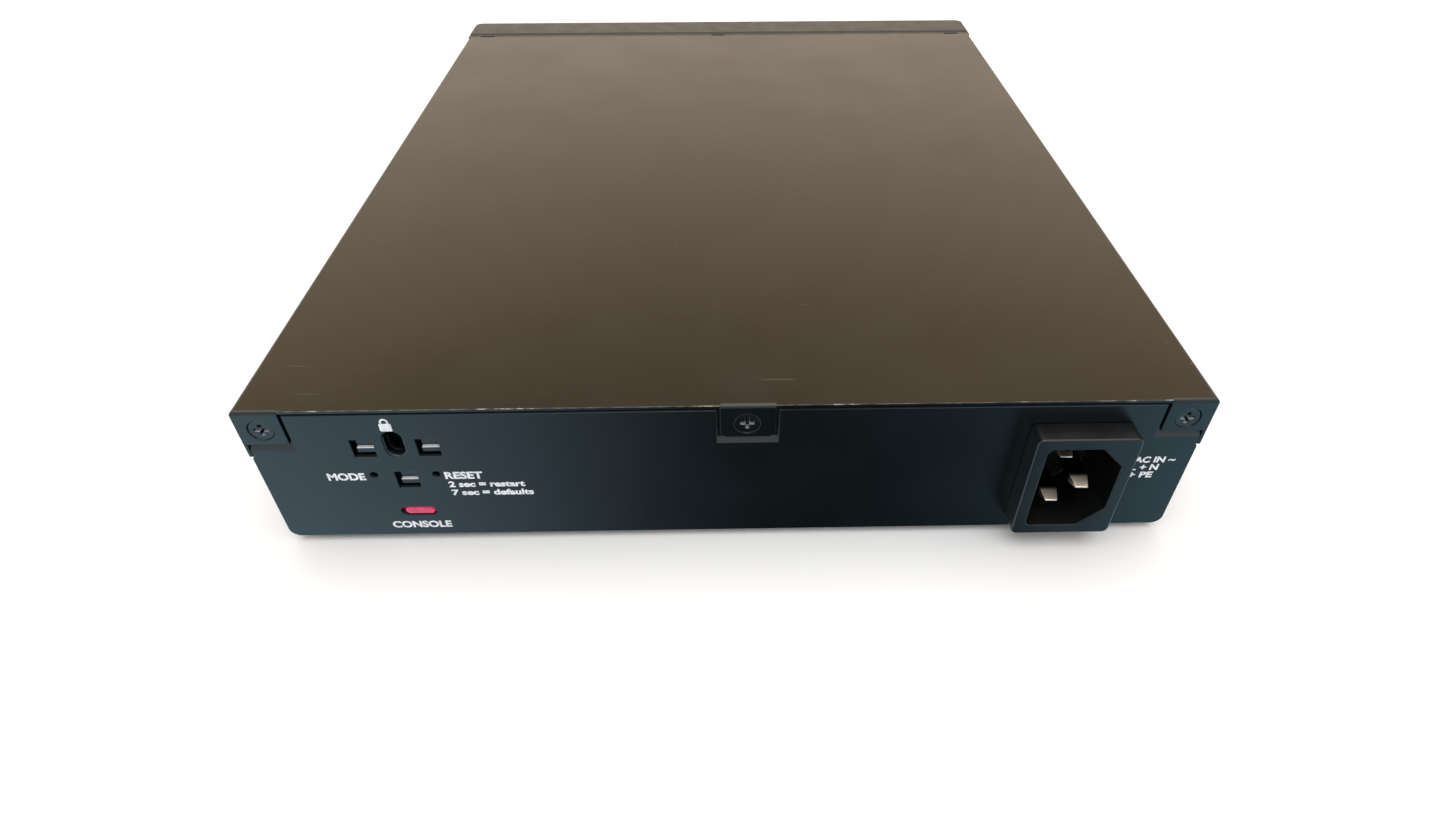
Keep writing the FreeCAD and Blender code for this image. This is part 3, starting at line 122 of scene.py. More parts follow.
class Graph(Tree):
    """One material's node tree, read in the row frame's own metres."""

    def __init__(self, name: str) -> None:
        """Starts a material of a name with one Principled shader."""
        self.material = bpy.data.materials.new(name)
        self.material.use_nodes = True
        super().__init__(self.material.node_tree)
        self.tree.nodes.clear()
        output = self.add("ShaderNodeOutputMaterial")
        self.shader = self.add("ShaderNodeBsdfPrincipled")
        self.tree.links.new(self.shader.outputs["BSDF"], output.inputs["Surface"])
        self.place = self.add("ShaderNodeTexCoord").outputs["Object"]

    def constant(self, **values: object) -> None:
        """Sets the shader's own sockets, named as for add."""
        for name, value in values.items():
            self.shader.inputs[name.replace("_", " ")].default_value = value

    def stretched(self, scale: Sequence[float], turn: float = 0.0) -> Socket:
        """Object coordinates scaled along each axis.

        Args:
            scale: factor along X, Y and Z.
            turn: angle about Z in radians.

        Returns:
            The vector socket.
        """
        turned = (0.0, 0.0, turn)
        node = self.add("ShaderNodeMapping", Vector=self.place, Scale=scale, Rotation=turned)
        return node.outputs["Vector"]

    def noise(self, size: float, detail: float = 2.0, vector: Optional[Socket] = None) -> Socket:
        """Cloudy noise.

        Args:
            size: distance between its blobs in metres.
            detail: number of finer layers.
            vector: coordinates, or None for plain Object coordinates.

        Returns:
            The value socket, from 0 to 1.
        """
        place = vector or self.place
        node = self.add("ShaderNodeTexNoise", Vector=place, Scale=1.0 / size, Detail=detail)
        return node.outputs[0]

    def cells(
        self, size: float, output: str = "Distance", vector: Optional[Socket] = None
    ) -> Socket:
        """Voronoi cells of a size in metres: their distance or random colour."""
        place = vector or self.place
        return self.add("ShaderNodeTexVoronoi", Vector=place, Scale=1.0 / size).outputs[output]

    def sum(self, *values: Source) -> Socket:
        """Adds values together."""
        return self._chain("ADD", values)

    def product(self, *values: Source) -> Socket:
        """Multiplies values together."""
        return self._chain("MULTIPLY", values)

    def larger(self, *values: Source) -> Socket:
        """Takes the largest of some values."""
        return self._chain("MAXIMUM", values)

    def _chain(self, operation: str, values: Sequence[Source]) -> Socket:
        """Applies a two-sided operation along a list of values."""
        total = values[0]
        for value in values[1:]:
            node = self.add("ShaderNodeMath")
            node.operation = operation
            self.feed(node.inputs[0], total)
            self.feed(node.inputs[1], value)
            total = node.outputs[0]
        return total

    def axis(self, name: str, vector: Optional[Socket] = None) -> Socket:
        """One coordinate of the place or of another vector, by its letter."""
        return self.add("ShaderNodeSeparateXYZ", Vector=vector or self.place).outputs[name]

    def upward(self, low: float = 0.55, high: float = 0.97) -> Socket:
        """How far the surface faces up.

        Args:
            low: upward part of the normal that still counts as a wall.
            high: upward part of the normal that counts as a level top.

        Returns:
            0 on a wall, 1 on a top.
        """
        normal = self.add("ShaderNodeNewGeometry").outputs["Normal"]
        return self.spread(self.axis("Z", normal), low, high)

    def outside(self, low: Vector, high: Vector, blur: float = 0.1 * MM) -> Socket:
        """Whether the place is outside a block, seen square on from the rear.

        Args:
            low: lowest corner of the block.
            high: highest corner of the block.
            blur: width over which it changes.

        Returns:
            0 inside, 1 outside.
        """
        walls = []
        for name, start, end in (("X", low.x, high.x), ("Z", low.z, high.z)):
            walls.append(self.spread(self.axis(name), start, start + blur, 1.0, 0.0))
            walls.append(self.spread(self.axis(name), end - blur, end))
        return self.larger(*walls)

    def relief(self, height: Socket, depth: float) -> Socket:
        """Bump normal of a height pattern with a depth in metres.

        Args:
            height: pattern from 0 to 1.
            depth: how far it rises.

        Returns:
            The normal socket.
        """
        return self.add("ShaderNodeBump", Distance=depth, Height=height).outputs["Normal"]

    def finish(
        self,
        colour: Source,
        roughness: Source,
        normal: Optional[Socket] = None,
        metal: Source = 0.0,
    ) -> Material:
        """Joins the patterns to the shader.

        Args:
            colour: base colour socket.
            roughness: roughness socket or number.
            normal: bump normal, if any.
            metal: metallic socket or number.

        Returns:
            The finished material.
        """
        self.feed(self.shader.inputs["Base Color"], colour)
        self.feed(self.shader.inputs["Roughness"], roughness)
        self.feed(self.shader.inputs["Metallic"], metal)
        if normal is not None:
            self.tree.links.new(normal, self.shader.inputs["Normal"])
        return self.material


# ---- finishes


@dataclass(frozen=True)
class EdgeWear:
    """Where a painted sheet has worn bright: thin dashes along its rear edge."""

    edge_y: float
    edge_z: float
    strip: float = 0.26 * MM
    dash: float = 0.8 * MM
    patch: float = 16 * MM
    inward: Span = (0.5, 1.0)
    downward: Span = (0.9, 0.4)
    patch_share: float = 0.8
    chipped_above: Span = (1.0, 1.08)
    chip_bareness: float = 0.9
    rubbed_above: Span = (0.4, 0.66)
    rub_bareness: Span = (0.03, 0.3)
    bare: Colour = (0.6, 0.55, 0.46)

    def mask(self, graph: Graph) -> Socket:
        """Builds the wear mask: 1 where the metal is bare, 0 elsewhere."""
        start, end = (self.edge_y + share * self.strip for share in self.inward)
        near_y = graph.spread(graph.axis("Y"), start, end, 1.0, 0.0)
        bottom, top = (self.edge_z - share * self.strip for share in self.downward)
        near_z = graph.spread(graph.axis("Z"), bottom, top)
        patches = graph.noise(self.patch, 1.0)
        dashes = graph.noise(self.dash, 3.0, graph.stretched((0.3, 1.0, 1.0)))
        worst = graph.sum(dashes, graph.product(patches, self.patch_share))
        chips = graph.spread(worst, *self.chipped_above, 0.0, self.chip_bareness)
        rubbed = graph.spread(dashes, *self.rubbed_above, *self.rub_bareness)
        return graph.product(near_y, near_z, graph.larger(chips, rubbed))


@dataclass(frozen=True)
class PowderCoat:
    """Baked powder paint on sheet steel: pebbled, satin, a little dust-specked and scuffed, with
    painted light on upward and up-leaning faces where that is asked for.
    """

    name: str
    deep: Colour
    pale: Colour
    satin: Span = (0.42, 0.56)
    pebble: float = 0.42 * MM
    pebble_depth: float = 0.014 * MM
    swell: float = 2.2 * MM
    sheen: float = 24 * MM
    cloud: float = 60 * MM
    dust: float = 0.0
    dust_colour: Colour = (0.42, 0.39, 0.33)
    dust_share: float = 0.6
    small_specks: tuple[float, float, float] = (2.6 * MM, 0.16 * MM, 0.07)
    large_specks: tuple[float, float, float] = (11.0 * MM, 0.32 * MM, 0.12)
    scuffs: float = 0.0
    scuff_turns: Span = (0.5, -1.1)
    scuff_size: float = 1.3 * MM
    scuff_patch: float = 34 * MM
    scuff_levels: Span = (0.75, 0.79)
    patch_levels: Span = (0.62, 0.7)
    # painted light: a warm colour on upward faces, standing in for the warm room light that the lid
    # reflects
    film: Optional[tuple[Colour, Colour]] = None
    # painted highlight: a paler colour on faces that lean up, for the light caught by slopes, steps
    # and window sills
    ledge: Optional[Colour] = None
    ledge_rise: Span = (0.15, 0.6)
    ledge_share: float = 0.85
    wear: Optional[EdgeWear] = None

    def specks(self, graph: Graph, cell: float, radius: float, share: float) -> Socket:
        """Round specks scattered one to a cell.

        Args:
            graph: the material's graph.
            cell: distance between cells in metres.
            radius: radius of a speck in metres.
            share: part of the cells that hold one.

        Returns:
            The speck mask.
        """
        spot = graph.spread(graph.cells(cell), radius / cell * 0.5, radius / cell, 1.0, 0.0)
        chosen = graph.spread(graph.cells(cell, "Color"), 1.0 - share, 1.0 - share + 0.02)
        return graph.product(spot, chosen)

    def scratches(self, graph: Graph) -> Socket:
        """Short faint hairline scuffs in two directions."""
        masks = []
        for turn in self.scuff_turns:
            streak = graph.noise(self.scuff_size, 1.0, graph.stretched((0.06, 1.6, 1.0), turn))
            patch = graph.noise(self.scuff_patch, 0.0)
            hairs = graph.spread(streak, *self.scuff_levels)
            masks.append(graph.product(hairs, graph.spread(patch, *self.patch_levels)))
        return graph.larger(*masks)

    def material(self) -> Material:
        """Makes the painted finish."""
        graph = Graph(self.name)
        broad = graph.noise(self.cloud, 2.0)
        fine = graph.noise(self.pebble, 2.0)
        tint = graph.sum(graph.product(broad, 0.5), graph.product(fine, 0.5))
        shade = graph.spread(tint, *MIDDLE)
        colour = graph.blend(shade, self.deep, self.pale)
        # painted light: upward faces are warmed, for the warm room light on the lid's top
        if self.film:
            painted_top = graph.blend(shade, *self.film)
            colour = graph.blend(graph.upward(), colour, painted_top)
        rough = graph.spread(graph.noise(self.sheen, 3.0), *WHOLE, *self.satin)
        metal: Source = 0.0
        if self.dust:
            small, large = (
                self.specks(graph, cell, radius, share * self.dust)
                for cell, radius, share in (self.small_specks, self.large_specks)
            )
            settled = graph.product(graph.larger(small, large), self.dust_share)
            colour = graph.blend(settled, colour, self.dust_colour)
        if self.scuffs:
            scuffed = graph.product(self.scratches(graph), self.scuffs)
            colour = graph.blend(scuffed, colour, self.dust_colour)
        # painted highlight: faces that lean up are paled, for light caught by ledges and slopes
        if self.ledge:
            lit = graph.product(graph.upward(*self.ledge_rise), self.ledge_share)
            colour = graph.blend(lit, colour, self.ledge)
        if self.wear:
            worn = self.wear.mask(graph)
            colour = graph.blend(worn, colour, self.wear.bare)
            metal = worn
        swell = graph.noise(self.swell, 1.0)
        grain = graph.sum(graph.product(fine, 0.7), graph.product(swell, 0.3))
        return graph.finish(colour, rough, graph.relief(grain, self.pebble_depth), metal)


@dataclass(frozen=True)
class Moulding:
    """Injection-moulded plastic with a spark-eroded grain."""

    name: str
    deep: Colour
    pale: Colour
    gloss: Span = (0.42, 0.55)
    grain: float = 0.35 * MM
    grain_depth: float = 0.012 * MM
    sheen: float = 6 * MM
    cloud: float = 12 * MM
    # painted highlight: a pale colour on faces that lean up, standing in for light caught by upper
    # edges
    rubbed: Optional[Colour] = None
    rubbed_rise: Span = (0.3, 0.65)
    rubbed_share: float = 0.9
    unrubbed: Optional[tuple[Vector, Vector]] = None

    def material(self) -> Material:
        """Makes the moulded finish, with a painted highlight on its upper edges where that is asked
        for.
        """
        graph = Graph(self.name)
        grain = graph.noise(self.grain, 3.0)
        shade = graph.spread(graph.noise(self.cloud, 3.0), *MOST)
        colour = graph.blend(shade, self.deep, self.pale)
        # painted highlight: faces that lean up are paled, outside the block where none is wanted
        if self.rubbed:
            share = graph.product(graph.upward(*self.rubbed_rise), self.rubbed_share)
            if self.unrubbed:
                share = graph.product(share, graph.outside(*self.unrubbed))
            colour = graph.blend(share, colour, self.rubbed)
        rough = graph.spread(graph.noise(self.sheen, 4.0), *MOST, *self.gloss)
        return graph.finish(colour, rough, graph.relief(grain, self.grain_depth))


@dataclass(frozen=True)
class PlatedMetal:
    """Plated or rolled metal with a directional grain and light tarnish."""

    name: str
    bright: Colour
    tarnished: Colour
    gloss: Span = (0.22, 0.4)
    grain: tuple[float, float, float] = (1.0, 0.08, 1.0)
    grain_size: float = 0.3 * MM
    grain_depth: float = 0.004 * MM
    stain_size: float = 4 * MM
    # painted shade: colour darkened beyond a depth, for the shade deep in the inlet's cavity
    dull_beyond: Optional[float] = None
    dull_fade: float = 0.7 * MM
    dull: Colour = (0.035, 0.03, 0.026)

    def material(self) -> Material:
        """Makes the metal finish, with painted shade beyond a depth, where a blade lies deep in the
        inlet's cavity.
        """
        graph = Graph(self.name)
        streaks = graph.noise(self.grain_size, 2.0, graph.stretched(self.grain))
        stain = graph.noise(self.stain_size, 4.0)
        colour = graph.blend(graph.spread(stain, *UPPER), self.bright, self.tarnished)
        # painted shade deep in the cavity
        if self.dull_beyond is not None:
            full = self.dull_beyond + self.dull_fade
            behind = graph.spread(graph.axis("Y"), self.dull_beyond, full)
            colour = graph.blend(behind, colour, self.dull)
        uneven = graph.sum(graph.product(stain, 0.6), graph.product(streaks, 0.4))
        rough = graph.spread(uneven, *MOST, *self.gloss)
        return graph.finish(colour, rough, graph.relief(streaks, self.grain_depth), 1.0)


@dataclass(frozen=True)
class ThreadedMetal:
    """Zinc-plated insert whose bore shows the turns of its thread.

    The wave texture repeats every wave_length / scale metres.
    """

    name: str
    wave_length: float = 0.314
    pitch: float = 0.7 * MM
    depth: float = 0.25 * MM
    stain_size: float = 1.5 * MM
    bright: Colour = (0.72, 0.72, 0.7)
    tarnished: Colour = (0.5, 0.49, 0.46)
    gloss: Span = (0.25, 0.42)

    def material(self) -> Material:
        """Makes the threaded finish, with its turns stacked along X."""
        graph = Graph(self.name)
        scale = self.wave_length / self.pitch
        wave = graph.add("ShaderNodeTexWave", Vector=graph.place, Scale=scale, Distortion=0.3)
        stain = graph.noise(self.stain_size, 4.0)
        colour = graph.blend(graph.spread(stain, *UPPER), self.bright, self.tarnished)
        rough = graph.spread(stain, *MOST, *self.gloss)
        return graph.finish(colour, rough, graph.relief(wave.outputs["Fac"], self.depth), 1.0)


@dataclass(frozen=True)
class PrintInk:
    """Screen-printed ink, a little thin and uneven."""

    name: str
    full: Colour
    thin: Colour
    gloss: Span = (0.45, 0.6)
    depth: float = 0.004 * MM

    def material(self) -> Material:
        """Makes the ink finish."""
        graph = Graph(self.name)
        coarse, fine = graph.noise(0.7 * MM, 3.0), graph.noise(0.2 * MM)
        cover = graph.sum(graph.product(coarse, 0.6), graph.product(fine, 0.4))
        colour = graph.blend(graph.spread(cover, *MIDDLE), self.thin, self.full)
        rough = graph.spread(cover, *WHOLE, *self.gloss)
        return graph.finish(colour, rough, graph.relief(cover, self.depth))


@dataclass(frozen=True)
class SiliconeGloss:
    """Shiny soft plastic, slightly translucent, with moulding ripples."""

    name: str
    deep: Colour
    pale: Colour
    gloss: Span = (0.16, 0.28)
    ripple: float = 1.8 * MM
    depth: float = 0.03 * MM

    def material(self) -> Material:
        """Makes the glossy finish."""
        graph = Graph(self.name)
        graph.constant(Coat_Weight=0.35, Coat_Roughness=0.06)
        graph.constant(Subsurface_Weight=0.12, Subsurface_Scale=0.6 * MM)
        ripple = graph.noise(self.ripple, 2.0)
        colour = graph.blend(graph.spread(ripple, *MOST), self.deep, self.pale)
        rough = graph.spread(ripple, *WHOLE, *self.gloss)
        return graph.finish(colour, rough, graph.relief(ripple, self.depth))


@dataclass(frozen=True)
class Laminate:
    """Circuit board: solder mask over copper tracks, with a glass weave below."""

    name: str
    mask: Colour = (0.012, 0.09, 0.045)
    track: Colour = (0.03, 0.17, 0.08)
    track_pitch: float = 1.6 * MM
    weave: float = 0.5 * MM
    depth: float = 0.03 * MM
    gloss: Span = (0.3, 0.42)

    def material(self) -> Material:
        """Makes the board finish."""
        graph = Graph(self.name)
        graph.constant(Coat_Weight=0.4, Coat_Roughness=0.15)
        runs = []
        for stretch in ((1.0, 0.12, 1.0), (0.12, 1.0, 1.0)):
            cells = graph.cells(self.track_pitch, "Distance", graph.stretched(stretch))
            runs.append(graph.spread(cells, 0.42, 0.48))
        areas = graph.spread(graph.noise(14 * MM, 1.0), 0.48, 0.52)
        tracks = graph.product(graph.larger(*runs), areas)
        colour = graph.blend(tracks, self.mask, self.track)
        weave = graph.noise(self.weave, 2.0)
        height = graph.sum(graph.product(tracks, 0.7), graph.product(weave, 0.3))
        rough = graph.spread(weave, *WHOLE, *self.gloss)
        return graph.finish(colour, rough, graph.relief(height, self.depth))


@dataclass(frozen=True)
class ClearGuide:
    """Clear light guide with a faint painted tint, standing in for the glow of the port lamp behind
    it.
    """

    name: str
    tint: Colour
    clear: Colour = (0.92, 0.95, 0.92)
    gloss: Span = (0.12, 0.26)

    def material(self) -> Material:
        """Makes the clear finish."""
        graph = Graph(self.name)
        graph.constant(Transmission_Weight=0.75, IOR=1.49)
        haze = graph.noise(1.2 * MM, 3.0)
        # painted light: the tint stands in for the lamp's glow
        colour = graph.blend(graph.spread(haze, *WHOLE), self.tint, self.clear)
        return graph.finish(colour, graph.spread(haze, *WHOLE, *self.gloss))


@dataclass(frozen=True)
class SoftRubber:
    """Matt rubber with a bloom of dust."""

    name: str
    deep: Colour = (0.012, 0.012, 0.012)
    bloom: Colour = (0.05, 0.05, 0.048)
    gloss: Span = (0.7, 0.9)
    depth: float = 0.02 * MM

    def material(self) -> Material:
        """Makes the rubber finish."""
        graph = Graph(self.name)
        dust = graph.noise(2.5 * MM, 5.0)
        colour = graph.blend(graph.spread(dust, *PEAKS), self.deep, self.bloom)
        grain = graph.noise(0.25 * MM, 2.0)
        rough = graph.spread(dust, *WHOLE, *self.gloss)
        return graph.finish(colour, rough, graph.relief(grain, self.depth))


def lock_hole() -> tuple[Vector, Vector]:
    """Corners of the block round the lock slot, where the clip's mouth gets no painted highlight.
    """
    low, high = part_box("slot_clip")
    middle = (low + high) / 2
    aside = Vector((LOCK_HOLE_WIDTH / 2, 0.0, 0.0))
    return middle - aside, Vector((middle.x, middle.y, high.z)) + aside


METALS = {
    "zinc_plate": ((0.66, 0.66, 0.65), (0.45, 0.44, 0.42), (0.22, 0.4)),
    "tin_plate": ((0.76, 0.75, 0.72), (0.55, 0.53, 0.5), (0.18, 0.34)),
    "gilt": ((0.95, 0.72, 0.34), (0.75, 0.52, 0.22), (0.14, 0.26)),
    "mill_aluminium": ((0.8, 0.8, 0.8), (0.62, 0.62, 0.62), (0.28, 0.44)),
}
PLASTICS = {
    "bezel_plastic": ((0.019, 0.0165, 0.0125), (0.027, 0.0235, 0.018), (0.38, 0.46)),
    "inlet_plastic": ((0.0025, 0.003, 0.0035), (0.005, 0.0055, 0.006), (0.3, 0.4)),
    "black_plastic": ((0.008, 0.008, 0.008), (0.016, 0.016, 0.016), (0.42, 0.55)),
    "ferrite": ((0.03, 0.03, 0.032), (0.055, 0.053, 0.05), (0.55, 0.75)),
    "coil_tape": ((0.62, 0.43, 0.04), (0.78, 0.58, 0.1), (0.25, 0.4)),
    "can_sleeve": ((0.01, 0.018, 0.05), (0.02, 0.03, 0.075), (0.2, 0.35)),
    "film_case": ((0.6, 0.5, 0.06), (0.7, 0.6, 0.12), (0.3, 0.45)),
    "fuse_ceramic": ((0.7, 0.68, 0.62), (0.82, 0.8, 0.75), (0.15, 0.28)),
    "header_plastic": ((0.7, 0.66, 0.54), (0.8, 0.77, 0.66), (0.42, 0.55)),
    "wire_sleeve": ((0.36, 0.015, 0.012), (0.46, 0.03, 0.025), (0.35, 0.5)),
    "chip_epoxy": ((0.012, 0.012, 0.013), (0.022, 0.022, 0.024), (0.45, 0.62)),
}


class Shop:
    """Every finish of the switch, made once and shared by its pieces."""

    def __init__(self) -> None:
        """Mixes the finishes, with wear along the cover's edge, painted light on the lid's tops and
        painted highlights on the pan's slopes, the lock clip and the screws.
        """
        cover_low, cover_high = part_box("top_cover")
        self.cover = PowderCoat(
            "cover_coat",
            (0.0016, 0.003, 0.0038),
            (0.003, 0.005, 0.006),
            satin=(0.26, 0.32),
            dust=1.0,
            scuffs=0.12,
            # painted light: warm colour on the lid's upward faces, for the room light that they
            # reflect
            film=((0.0145, 0.009, 0.0032), (0.0215, 0.0138, 0.0056)),
            wear=EdgeWear(cover_low.y, cover_high.z),
        ).material()
        self.pan = PowderCoat(
            "pan_coat",
            (0.0012, 0.0024, 0.003),
            (0.0024, 0.004, 0.0048),
            satin=(0.3, 0.36),
            # painted highlight on the pan's up-leaning slopes, steps and sills
            ledge=(0.022, 0.027, 0.031),
            dust=0.5,
            dust_colour=(0.16, 0.18, 0.2),
        ).material()
        self.clip = Moulding(
            "clip_plastic",
            (0.004, 0.0045, 0.005),
            (0.008, 0.0085, 0.009),
            (0.3, 0.4),
            # painted highlight on the clip's up-facing hook ledges
            rubbed=(0.7, 0.71, 0.73),
            unrubbed=lock_hole(),
        ).material()
        self.black_screw = Moulding(
            "black_oxide",
            (0.003, 0.004, 0.005),
            (0.006, 0.0075, 0.009),
            (0.22, 0.32),
            # painted highlight on the screw heads' upper rims
            rubbed=(0.3, 0.32, 0.34),
        ).material()
        self.dark_plate = PowderCoat(
            "lock_plate_coat", (0.0012, 0.002, 0.0026), (0.0024, 0.0034, 0.0042)
        ).material()
        self.insert = ThreadedMetal("insert_thread").material()
        self.ink = PrintInk("panel_ink", (0.86, 0.88, 0.9), (0.55, 0.58, 0.62)).material()
        self.plug = SiliconeGloss("plug_red", (0.5, 0.004, 0.05), (0.74, 0.011, 0.105)).material()
        self.board = Laminate("board_laminate").material()
        # painted glow: green tint for the lit port lamps
        self.guide = ClearGuide("light_guide", (0.75, 0.9, 0.75)).material()
        self.rubber = SoftRubber("foot_rubber").material()
        self.pad = SoftRubber("pad_silicone", (0.3, 0.34, 0.42), (0.4, 0.44, 0.52)).material()
        self.plain: dict[str, Material] = {}
        for kind, table in ((PlatedMetal, METALS), (Moulding, PLASTICS)):
            for name, looks in table.items():
                self.plain[name] = kind(name, *looks).material()

    @staticmethod
    def blade(name: str, unshaded_to: float) -> Material:
        """Nickel plate of a mains blade, bright from its tip to a depth, with painted shade beyond
        it deep in the inlet.
        """
        bright, tarnished = (0.95, 0.84, 0.7), (0.8, 0.68, 0.53)
        return PlatedMetal(
            f"{name}_nickel", bright, tarnished, (0.3, 0.45), dull_beyond=unshaded_to
        ).material()


# ---- mesh and pieces


SHARP_EDGE = math.radians(25.0)
SHARP_SHADING = math.radians(32.0)
FLAT_ENOUGH = math.radians(0.4)
WELD = 1e-6
FACE_WEIGHT = 90
EDGE_REACH = 1.6
ALONG = 0.99


def dress(node: str, material: Material) -> None:
    """Gives a CAD node its finish, in all its slots."""
    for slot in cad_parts[node].material_slots:
        slot.material = material
    LOG.info("dressed %s in %s", node, material.name)


def piece(
    name: str,
    bm: BMesh,
    material: Material,
    body: str = CASE,
    stands_for: Sequence[str] = (),
) -> None:
    """Turns a finished bmesh into a piece of the switch.

    Args:
        name: what the piece is called.
        bm: its shape in the row frame, freed here.
        material: its finish.
        body: the CAD body that it moves with.
        stands_for: CAD nodes that it is shown in place of.
    """
    mesh = bpy.data.meshes.new(name)
    bm.to_mesh(mesh)
    bm.free()
    mesh.materials.append(material)
    mesh.shade_smooth()
    mesh.set_sharp_from_angle(angle=SHARP_SHADING)
    made = bpy.data.objects.new(name, mesh)
    bpy.context.scene.collection.objects.link(made)
    level = made.modifiers.new("flat_faces_level", "WEIGHTED_NORMAL")
    level.keep_sharp = True
    level.weight = FACE_WEIGHT
    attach(made, body)
    if stands_for:
        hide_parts(*stands_for)
    LOG.info("built %s with %d faces", name, len(mesh.polygons))


def softened(node: str, width: float, segments: int = 2) -> BMesh:
    """Copy of a CAD node with its sharp edges broken, as a press or a mould leaves them.

    Args:
        node: name of the node.
        width: width of the broken edge in metres.
        segments: facets across it.

    Returns:
        The new shape.
    """
    bm = bmesh.new()
    bm.from_mesh(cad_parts[node].data)
    bmesh.ops.remove_doubles(bm, verts=bm.verts, dist=WELD)
    bmesh.ops.dissolve_limit(bm, angle_limit=FLAT_ENOUGH, verts=bm.verts, edges=bm.edges)
    whole = [edge for edge in bm.edges if edge.is_manifold]
    sharp = [edge for edge in whole if edge.calc_face_angle(0.0) > SHARP_EDGE]
    corners = KDTree(len(bm.verts))
    for index, vert in enumerate(bm.verts):
        corners.insert(vert.co, index)
    corners.balance()
    bevel(bm, sharp, width, segments)
    pull_in(bm, corners, EDGE_REACH * width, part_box(node))
    return bm


def replica(
    name: str,
    node: str,
    width: float,
    material: Material,
    segments: int = 2,
    body: str = CASE,
) -> None:
    """Shows a copy of a CAD node with broken edges in the node's place.

    Args:
        name: what the piece is called.
        node: the CAD node.
        width: width of the broken edges in metres.
        material: its finish.
        segments: facets across a broken edge.
        body: the CAD body that it moves with.
    """
    piece(name, softened(node, width, segments), material, body, [node])


def pull_in(bm: BMesh, corners: KDTree, reach: float, box: tuple[Vector, Vector]) -> None:
    """Draws back what a broken edge throws out where two edges meet at a sliver.

    Args:
        bm: the shape, changed in place.
        corners: the corners that it had before its edges were broken.
        reach: how far from its corner a point may lie.
        box: lowest and highest corner that it keeps within.
    """
    for vert in bm.verts:
        corner, _, distance = corners.find(vert.co)
        if distance > reach:
            vert.co = corner + (vert.co - corner) * (reach / distance)
        vert.co = [min(max(value, low), high) for value, low, high in zip(vert.co, *box)]


def bevel(bm: BMesh, edges: Iterable[BMEdge], width: float, segments: int) -> None:
    """Rounds some edges of a shape."""
    bmesh.ops.bevel(
        bm,
        geom=list(edges),
        offset=width,
        offset_type="OFFSET",
        segments=segments,
        profile=0.5,
        affect="EDGES",
        clamp_overlap=False,
        material=-1,
    )


def slab(bm: BMesh, low: Sequence[float], high: Sequence[float]) -> list[BMVert]:
    """Adds a box between two corners.

    Args:
        bm: the shape to add to.
        low: lowest corner.
        high: highest corner.

    Returns:
        Its vertices.
    """
    size = Vector(high) - Vector(low)
    middle = (Vector(high) + Vector(low)) / 2
    place = Matrix.Translation(middle) @ Matrix.Diagonal((*size, 1.0))
    return bmesh.ops.create_cube(bm, size=1.0, matrix=place)["verts"]


def edges_between(bm: BMesh, verts: Iterable[BMVert], axis: int) -> list[BMEdge]:
    """Edges of some vertices that run along one axis."""
    chosen = set(verts)
    picked = []
    for edge in bm.edges:
        if edge.verts[0] in chosen and edge.verts[1] in chosen:
            run = (edge.verts[1].co - edge.verts[0].co).normalized()
            if abs(run[axis]) > ALONG:
                picked.append(edge)
    return picked


def middle_of(node: str) -> Vector:
    """Middle of a CAD node's box."""
    low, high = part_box(node)
    return (low + high) / 2


def lettering(text: str, weight: float) -> BMesh:
    """Flat letters in the X-Y plane, one unit high or so.

    Args:
        text: what they say.
        weight: how much bolder than the plain font, in letter heights.

    Returns:
        The letters' shape.
    """
    curve = bpy.data.curves.new("letters", "FONT")
    curve.body = text
    curve.offset = weight
    curve.resolution_u = 6
    curve.extrude = 0.01
    holder = bpy.data.objects.new("letters", curve)
    bpy.context.scene.collection.objects.link(holder)
    bpy.context.view_layer.update()
    graph = bpy.context.evaluated_depsgraph_get()
    mesh = bpy.data.meshes.new_from_object(holder.evaluated_get(graph))
    bm = bmesh.new()
    bm.from_mesh(mesh)
    bpy.data.objects.remove(holder)
    bpy.data.curves.remove(curve)
    bpy.data.meshes.remove(mesh)
    return bm


class Facing(Enum):
    """Which panel a print is on, as the turn that stands it up there."""

    REAR = (math.radians(90), 0.0, 0.0)
    FRONT = (math.radians(90), 0.0, math.radians(180))


def stand_print(bm: BMesh, facing: Facing, x: Span, z: Span, face: float) -> None:
    """Fits a flat print to a place on a panel.

    Args:
        bm: the print in the X-Y plane, fitted in place.
        facing: the panel that it is on.
        x: low and high ends across.
        z: low and high ends of its height.
        face: depth of the panel's face.
    """
    low = Vector([min(vert.co[i] for vert in bm.verts) for i in range(3)])
    high = Vector([max(vert.co[i] for vert in bm.verts) for i in range(3)])
    size = high - low
    scale = ((x[1] - x[0]) / size.x, (z[1] - z[0]) / size.y, INK_DEPTH / size.z)
    bmesh.ops.translate(bm, verts=bm.verts, vec=-(low + high) / 2)
    bmesh.ops.scale(bm, verts=bm.verts, vec=scale)
    bmesh.ops.rotate(bm, verts=bm.verts, cent=(0, 0, 0), matrix=Euler(facing.value).to_matrix())
    bmesh.ops.translate(bm, verts=bm.verts, vec=((x[0] + x[1]) / 2, face, (z[0] + z[1]) / 2))


@dataclass(frozen=True)
class Ink:
    """One ink on one panel: what prints there and how bold."""

    facing: Facing
    face: float
    material: Material
    slot: str
    weight: float = 0.04

    def word(self, text: str, name: str, x: Span, z: Span) -> None:
        """Prints one word.

        Args:
            text: what it says.
            name: the piece's name.
            x: its ends across.
            z: its ends in height.
        """
        bm = lettering(text, self.weight)
        stand_print(bm, self.facing, x, z, self.face)
        piece(name, bm, self.material)


def about(middle: float, size: float) -> Span:
    """Ends of a span about its middle."""
    return (middle - size / 2, middle + size / 2)


# ---- sub-assemblies


